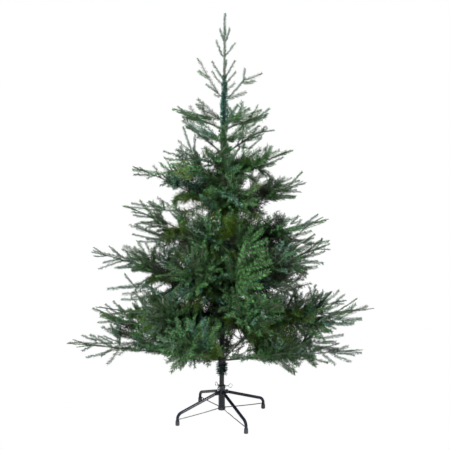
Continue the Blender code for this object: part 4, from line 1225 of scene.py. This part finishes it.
def grow_crown(growth, stems, boughs_bare):
    """Every tier's bare boughs, stems and the twigs on them, by the source's rule."""
    for number, boughs in enumerate(bough_spaces()):
        finer = FINER[number]
        for i, (stem, space) in enumerate(boughs):
            dice = random.Random(SEED + 100 * (number + 1) + i)
            collar = stem.tier.collar
            hub = COLLAR_RADIUS if number < COLLARED_TIERS else pole_radius(collar)
            first = (hub + FIT_GAP) / stem.reach
            start = FIRST_SPRAY
            if number < BOUGHED_TIERS:
                boughs_bare.append(bare_bough(stem, first))
                first = (BARE_REACH + FIT_GAP) / stem.reach
                start = first + LOOK_AHEAD
            stems.append(stem.path(first, STEM_END, STEM_POINTS))
            sprays = sprays_of(stem, space, start, dice)
            dice = random.Random(SEED * 7 + 100 * number + i)
            for spray in sprays:
                grow_spray(growth, spray, finer, dice)
            grow_stem_twigs(growth, stem, finer, dice)
            grow_inner_tips(growth, stem, finer, dice)
            clothe_stem(growth, stem, first)


def grow_leader(growth, stems):
    """The leader's stem and the needles along it."""
    heights = np.linspace(POLE_TOP + FIT_GAP, LEADER_STEM_TOP, STEM_POINTS)
    stems.append([pole_point(height) for height in heights])
    for low, high in LEADER_BRISTLES:
        start, end = pole_point(low), pole_point(high)
        growth.set("silver", start, end, FRONT, Vector(), LEADER_NEEDLE, LEADER_GAP)


def set_back(point, distance):
    """The point moved away from the viewer's place, to lie this much deeper in the tree."""
    away = point - VIEWER
    return point + away * (distance / away.y)


def grow_set_twigs(growth):
    """The twigs that are set one by one. They bend a little, and those of the front fans reach
    forwards out of the crown."""
    dice = random.Random(SEED + 5)
    for depth, rows in SET_TWIGS:
        for x, z, end_x, end_z, needle, kind in rows:
            root = Vector((x / 1000, depth, z / 1000))
            if depth < FAN_DEPTH:
                root = set_back(root, ROOT_DEPTH)
            tip = Vector((end_x / 1000, depth, end_z / 1000))
            spread = SET_DEPTH_SPREAD if depth else LEADER_SPREAD * abs(tip.x - root.x)
            tip = set_back(tip, stray(dice, spread))
            if depth < FAN_DEPTH:
                tip = set_back(tip, TIP_DEPTH * max(tip.z - root.z, 0))
            up = (SET_FACING + any_way(dice) * SET_FACING_SPREAD).normalized()
            gap = SPARSE_GAP if needle <= SHORT_NEEDLE else SET_NEEDLE_GAP
            bow = SET_SAG * (tip - root).length
            growth.set(kind, root, tip, up, bow, needle / 1000, gap)


def point_on(twig, share):
    """The point at a share of a twig's curve."""
    return twig.start.lerp(twig.bend, share).lerp(twig.bend.lerp(twig.end, share), share)


def attach_loose_twigs(growth, stems):
    """Starts each twig whose foot touches nothing at the nearest point of another twig or a stem."""
    shares = np.linspace(0, 1, TWIG_POINTS)
    places = [
        (point_on(twig, share), twig)
        for twigs in growth.twigs.values()
        for twig in twigs
        for share in shares
    ]
    for path in stems:
        for near, far in zip(path, path[1:]):
            places += [(Vector(near).lerp(Vector(far), share), None) for share in shares]
    tree = KDTree(len(places))
    for i, (point, _) in enumerate(places):
        tree.insert(point, i)
    tree.balance()
    for twigs in growth.twigs.values():
        for i, twig in enumerate(twigs):
            found = tree.find_n(twig.start, TWIG_POINTS + 1)
            point = next(point for point, j, _ in found if places[j][1] is not twig)
            if (point - twig.start).length > LOOSE_GAP:
                twigs[i] = twig._replace(start=point)


# ---------------------------------------------------------------- needles
# Width in metres, lean from the twig in degrees. Spread is how far the needles stray from the
# twig's plane, in degrees, and full ones stand all round it. The outline has four corners, each by
# its share of the length, of the width to the right and of the width upwards.
Style = namedtuple("Style", "width lean tip_lean spread outline")
KITE = ((0, 0, 0.1), (0.5, 0.5, -0.1), (1, 0, 0.1), (0.5, -0.5, -0.1))
STRAP = ((0, -0.45, 0), (0, 0.45, 0.1), (1, 0.3, 0), (1, -0.3, 0.1))
ALL_ROUND = 180
FIR = Style(0.0018, (48, 64), 28, 32, KITE)
LIT = Style(0.0022, (48, 58), 28, 24, KITE)
STRIP = Style(0.0019, (48, 80), 30, ALL_ROUND, STRAP)
TINSEL = Style(0.0026, (58, 100), 80, ALL_ROUND, STRAP)
LEAST_NEEDLES = 6  # on one twig
LAST_NEEDLE = 0.97  # share of a twig's length beyond which its end is bare
TIP_ZONE = 0.86  # share of it beyond which the needles lean more and more forward
NEEDLE_SIZES = (0.8, 1.15)
LIT_KINDS = ("mid", "fresh", "blue", "silver")  # broad needles over darker needles of painted shade
PAINTED_SHADE_SPACING = 1.2  # of the darker needles of painted shade among them, as a multiple of the twig's gap
LIT_SPACING = 1.45  # of the broad needles, as a multiple of the twig's gap
MOST_NEEDLES = 98000  # in one piece, of two triangles each
TINSEL_GAPS = {"teal": 0.00018, "mint": 0.0009}
TINSEL_LENGTHS = (
    (1.165, 1.34, 0.0175), (1.32, 1.46, 0.0190), (1.45, 1.505, 0.0150), (1.49, 1.54, 0.0105),
    (0.196, 0.250, 0.0270),
)  # from one height to another, and how far the strips reach


def twig_arrays(twigs):
    """Each field of the twigs as an array."""
    return [np.array([getattr(twig, part) for twig in twigs], np.float64) for part in Twig._fields]


def along_curve(start, bend, end, share):
    """Points and directions at a share of quadratic curves."""
    place = (1 - share) ** 2 * start + 2 * share * (1 - share) * bend + share**2 * end
    return place, unit((1 - share) * (bend - start) + share * (end - bend))


def needles_on(twigs, style, dice):
    """Points and triangles of the needles on twigs.

    Needles follow one another at an even spacing along each twig's quadratic curve. Each is turned
    round the twig, by a normal spread about its two sides or evenly all round, leans forward, more
    so at the tip, and is twisted about its own length. Its four corners make two triangles that
    meet in a crease.
    """
    start, bend, end, up, needle, gap = twig_arrays(twigs)
    length = np.linalg.norm(bend - start, axis=1) + np.linalg.norm(end - bend, axis=1)
    count = np.maximum((length / gap).astype(int), LEAST_NEEDLES)
    twig = np.repeat(np.arange(len(twigs)), count)
    rank = np.arange(len(twig)) - np.repeat(np.cumsum(count) - count, count)
    share = ((rank + dice.uniform(0, 1, len(twig))) / count[twig] * LAST_NEEDLE)[:, None]
    place, ahead = along_curve(start[twig], bend[twig], end[twig], share)
    across, upward = square_sides(ahead, up[twig])
    if style.spread >= ALL_ROUND:
        around = dice.uniform(0, 2 * np.pi, len(twig))
    else:
        side = np.where(dice.uniform(0, 1, len(twig)) < 0.5, 0.0, np.pi)
        around = side + np.radians(dice.normal(0, style.spread, len(twig)))
    around = around[:, None]
    outward = across * np.cos(around) + upward * np.sin(around)
    near_tip = np.clip((share[:, 0] - TIP_ZONE) / (1 - TIP_ZONE), 0, 1)
    lean = dice.uniform(*style.lean, len(twig)) * (1 - near_tip) + style.tip_lean * near_tip
    lean = np.radians(lean)[:, None]
    along = ahead * np.cos(lean) + outward * np.sin(lean)
    flat = unit(np.cross(ahead, outward))
    twist = dice.uniform(-np.pi / 2, np.pi / 2, len(twig))[:, None]
    right = unit(flat * np.cos(twist) + np.cross(along, flat) * np.sin(twist))
    raised = np.cross(right, along)
    size = dice.uniform(*NEEDLE_SIZES, len(twig))[:, None] * needle[twig][:, None]
    corners = [
        place + along * size * far + (right * wide + raised * high) * style.width
        for far, wide, high in style.outline
    ]
    points = np.stack(corners, 1)
    faces = np.arange(len(twig))[:, None, None] * 4 + np.array([[0, 1, 2], [0, 2, 3]])
    return points.reshape(-1, 3), faces.reshape(-1, 3)


def twig_tubes(twigs):
    """Points and triangles of three-sided twigs: a start, a middle and an end ring on each curve."""
    start, bend, end, up = twig_arrays(twigs)[:4]
    rings = []
    for share in (0.0, 0.5, 1.0):
        place, ahead = along_curve(start, bend, end, share)
        across, upward = square_sides(ahead, up)
        stout = mixed(TWIG_RADIUS, TWIG_TIP_RADIUS, share)
        for angle in THREE_CORNERS:
            rings.append(place - stout * (across * math.cos(angle) - upward * math.sin(angle)))
    points = np.stack(rings, 1)
    faces = np.arange(len(twigs))[:, None, None] * 9 + ring_faces(3, 3)[:, ::-1]
    return points.reshape(-1, 3), faces.reshape(-1, 3)


def add_needles(kind, twigs, style, dice, paint):
    """One kind's needles, in pieces that stay under the limit."""
    points, faces = needles_on(twigs, style, dice)
    total = len(faces) // 2
    for part in range(math.ceil(total / MOST_NEEDLES)):
        first, last = part * MOST_NEEDLES, min((part + 1) * MOST_NEEDLES, total)
        own_faces = faces[first * 2 : last * 2] - first * 4
        name = f"needles_{kind}_{part + 1}"
        stand_for(surface(name, points[first * 4 : last * 4], own_faces, paint), MASSES)


def dress(growth, paints):
    """The needles and the twigs of each kind. Twigs of a lit kind carry darker needles as well,
    painted shade mixed in among the lit ones.
    """
    dice = np.random.default_rng(SEED)
    lit = [twig for kind in LIT_KINDS for twig in growth.twigs[kind]]
    under = [twig._replace(gap=twig.gap * PAINTED_SHADE_SPACING) for twig in lit]
    add_needles("under", under, FIR, dice, paints["under"])
    for kind, twigs in growth.twigs.items():
        style, carried = STRIP if kind.startswith("strip") else FIR, twigs
        if kind in LIT_KINDS:
            style, carried = LIT, [twig._replace(gap=twig.gap * LIT_SPACING) for twig in twigs]
        add_needles(kind, carried, style, dice, paints[kind])
        tubes = surface(f"twigs_{kind}", *twig_tubes(twigs), paints["twig"], smooth=True)
        stand_for(tubes, MASSES)


def make_tinsel(paints):
    """Tinsel wound round the upper pole, the leader's foot and the pole's lower end, of two greens."""
    dice = np.random.default_rng(SEED + 9)
    for kind, gap in TINSEL_GAPS.items():
        twigs = []
        for low, high, reach in TINSEL_LENGTHS:
            start, end = pole_point(low), pole_point(high)
            twigs.append(Twig(start, (start + end) / 2, end, FRONT, reach, gap))
        piece = surface(f"{kind}_tinsel", *needles_on(twigs, TINSEL, dice), paints[kind])
        stand_for(piece, MASSES)


# ---------------------------------------------------------------- stems, boughs and pole
STEM_RADIUS = 0.0034
STEM_TIP_RADIUS = 0.0018
EDGE = 0.0012  # rounding of the pole's and the collars' edges
GROOVE = 0.0008  # depth of the grooves at the joint and round the collars
JOINT_GROOVE = 0.010  # from the groove to the joint above it
RING_GAP = 0.02  # between rings along the pole's plain stretches
SEAM = 0.0003  # height of the weld seam along the pole
WINDING = 0.0005  # height of the tape's overlap on the boughs
WINDING_TURNS = 22
POLE_SIDES, BOUGH_SIDES, STEM_SIDES = 40, 12, 8


def make_stems(stems, paint):
    radii = np.linspace(STEM_RADIUS, STEM_TIP_RADIUS, STEM_POINTS)
    parts = [tube(path, radii, STEM_SIDES) for path in stems]
    piece = surface("stems", *joined(parts), paint, smooth=True)
    stand_for(piece, MASSES)


def make_bare_boughs(paths, paint):
    """The lowest tier's bare boughs, wires wound with tape whose overlap stands up as a helix."""
    radii = np.linspace(BOUGH_RADIUS - WINDING, BOUGH_TIP_RADIUS - WINDING, BOUGH_RINGS)
    parts = [tube(path, radii, BOUGH_SIDES, WINDING, WINDING_TURNS) for path in paths]
    piece = surface("relief_boughs", *joined(parts), paint, smooth=True)
    stand_for(piece, BOUGHS)


def pole_outline():
    """Heights and radii up the pole, with rounded edges and grooves."""
    low, high, groove = LOWER_POLE_RADIUS, UPPER_POLE_RADIUS, POLE_JOINT - JOINT_GROOVE
    corners = [
        (POLE_FOOT, low - EDGE), (POLE_FOOT + EDGE, low), (groove - 2 * GROOVE, low),
        (groove, low - GROOVE), (groove + 2 * GROOVE, low), (POLE_JOINT - EDGE, low),
        (POLE_JOINT, low - EDGE / 2), (POLE_JOINT + POLE_STEP, high), (POLE_WRAPPED, high),
        (POLE_WRAPPED + POLE_STEP, WIRE_CORE_RADIUS), (POLE_TOP - EDGE, POLE_TIP_RADIUS),
        (POLE_TOP, POLE_TIP_RADIUS - EDGE),
    ]
    for tier in TIERS[:COLLARED_TIERS]:
        radius = pole_radius(tier.collar)
        for side in (-1, 1):
            face = tier.collar + side * COLLAR_HALF_HEIGHT
            corners += [
                (face + side * POLE_STEP, radius), (face, COLLAR_RADIUS - EDGE),
                (face - side * EDGE, COLLAR_RADIUS),
                (tier.collar + side * 2 * GROOVE, COLLAR_RADIUS),
            ]
        corners.append((tier.collar, COLLAR_RADIUS - GROOVE))
    return np.array(sorted(corners))


def make_pole(paint):
    """The pole with its weld seam, the groove at its joint and the rounded, grooved collars."""
    outline = pole_outline()
    between = np.arange(POLE_FOOT, POLE_TOP, RING_GAP)
    heights = np.unique(np.concatenate([outline[:, 0], between]))
    radii = np.interp(heights, outline[:, 0], outline[:, 1])
    axis = [(pole_axis(height), 0, height) for height in heights]
    points, faces = tube(axis, radii, POLE_SIDES, SEAM)
    stand_for(surface("relief_pole", points, faces, paint, smooth=True), ["pole"])


# ---------------------------------------------------------------- the CAD nodes that stay, and all
PLASTIC_NODES = ("stand_base_cap", "stand_top_ring")
FINISHES = {
    "stand": "stand", "leg": "stand", "brace": "stand", "foot": "plastic", "eye": "zinc",
}


def finish_frame_nodes(paints):
    """Gives the CAD nodes that stay in view their finish."""
    for name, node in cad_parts.items():
        if name in MASSES or name in BOUGHS or name == "pole":
            continue
        kind = "plastic" if name in PLASTIC_NODES else FINISHES[name.split("_")[0]]
        for slot in node.material_slots:
            slot.material = paints[kind]


def make_floor(paint):
    half = FLOOR_SIDE / 2
    corners = [(-half, -half, 0), (half, -half, 0), (half, half, 0), (-half, half, 0)]
    surface("studio_floor", corners, [(0, 1, 2, 3)], paint)


def main():
    aim_camera()
    light_studio()
    paints = make_paints()
    make_floor(paints["floor"])
    growth, stems, boughs_bare = Growth(), [], []
    grow_crown(growth, stems, boughs_bare)
    grow_leader(growth, stems)
    grow_set_twigs(growth)
    attach_loose_twigs(growth, stems)
    dress(growth, paints)
    make_pole(paints["pole"])
    make_bare_boughs(boughs_bare, paints["tape"])
    make_stems(stems, paints["tape"])
    make_tinsel(paints)
    finish_frame_nodes(paints)


main()
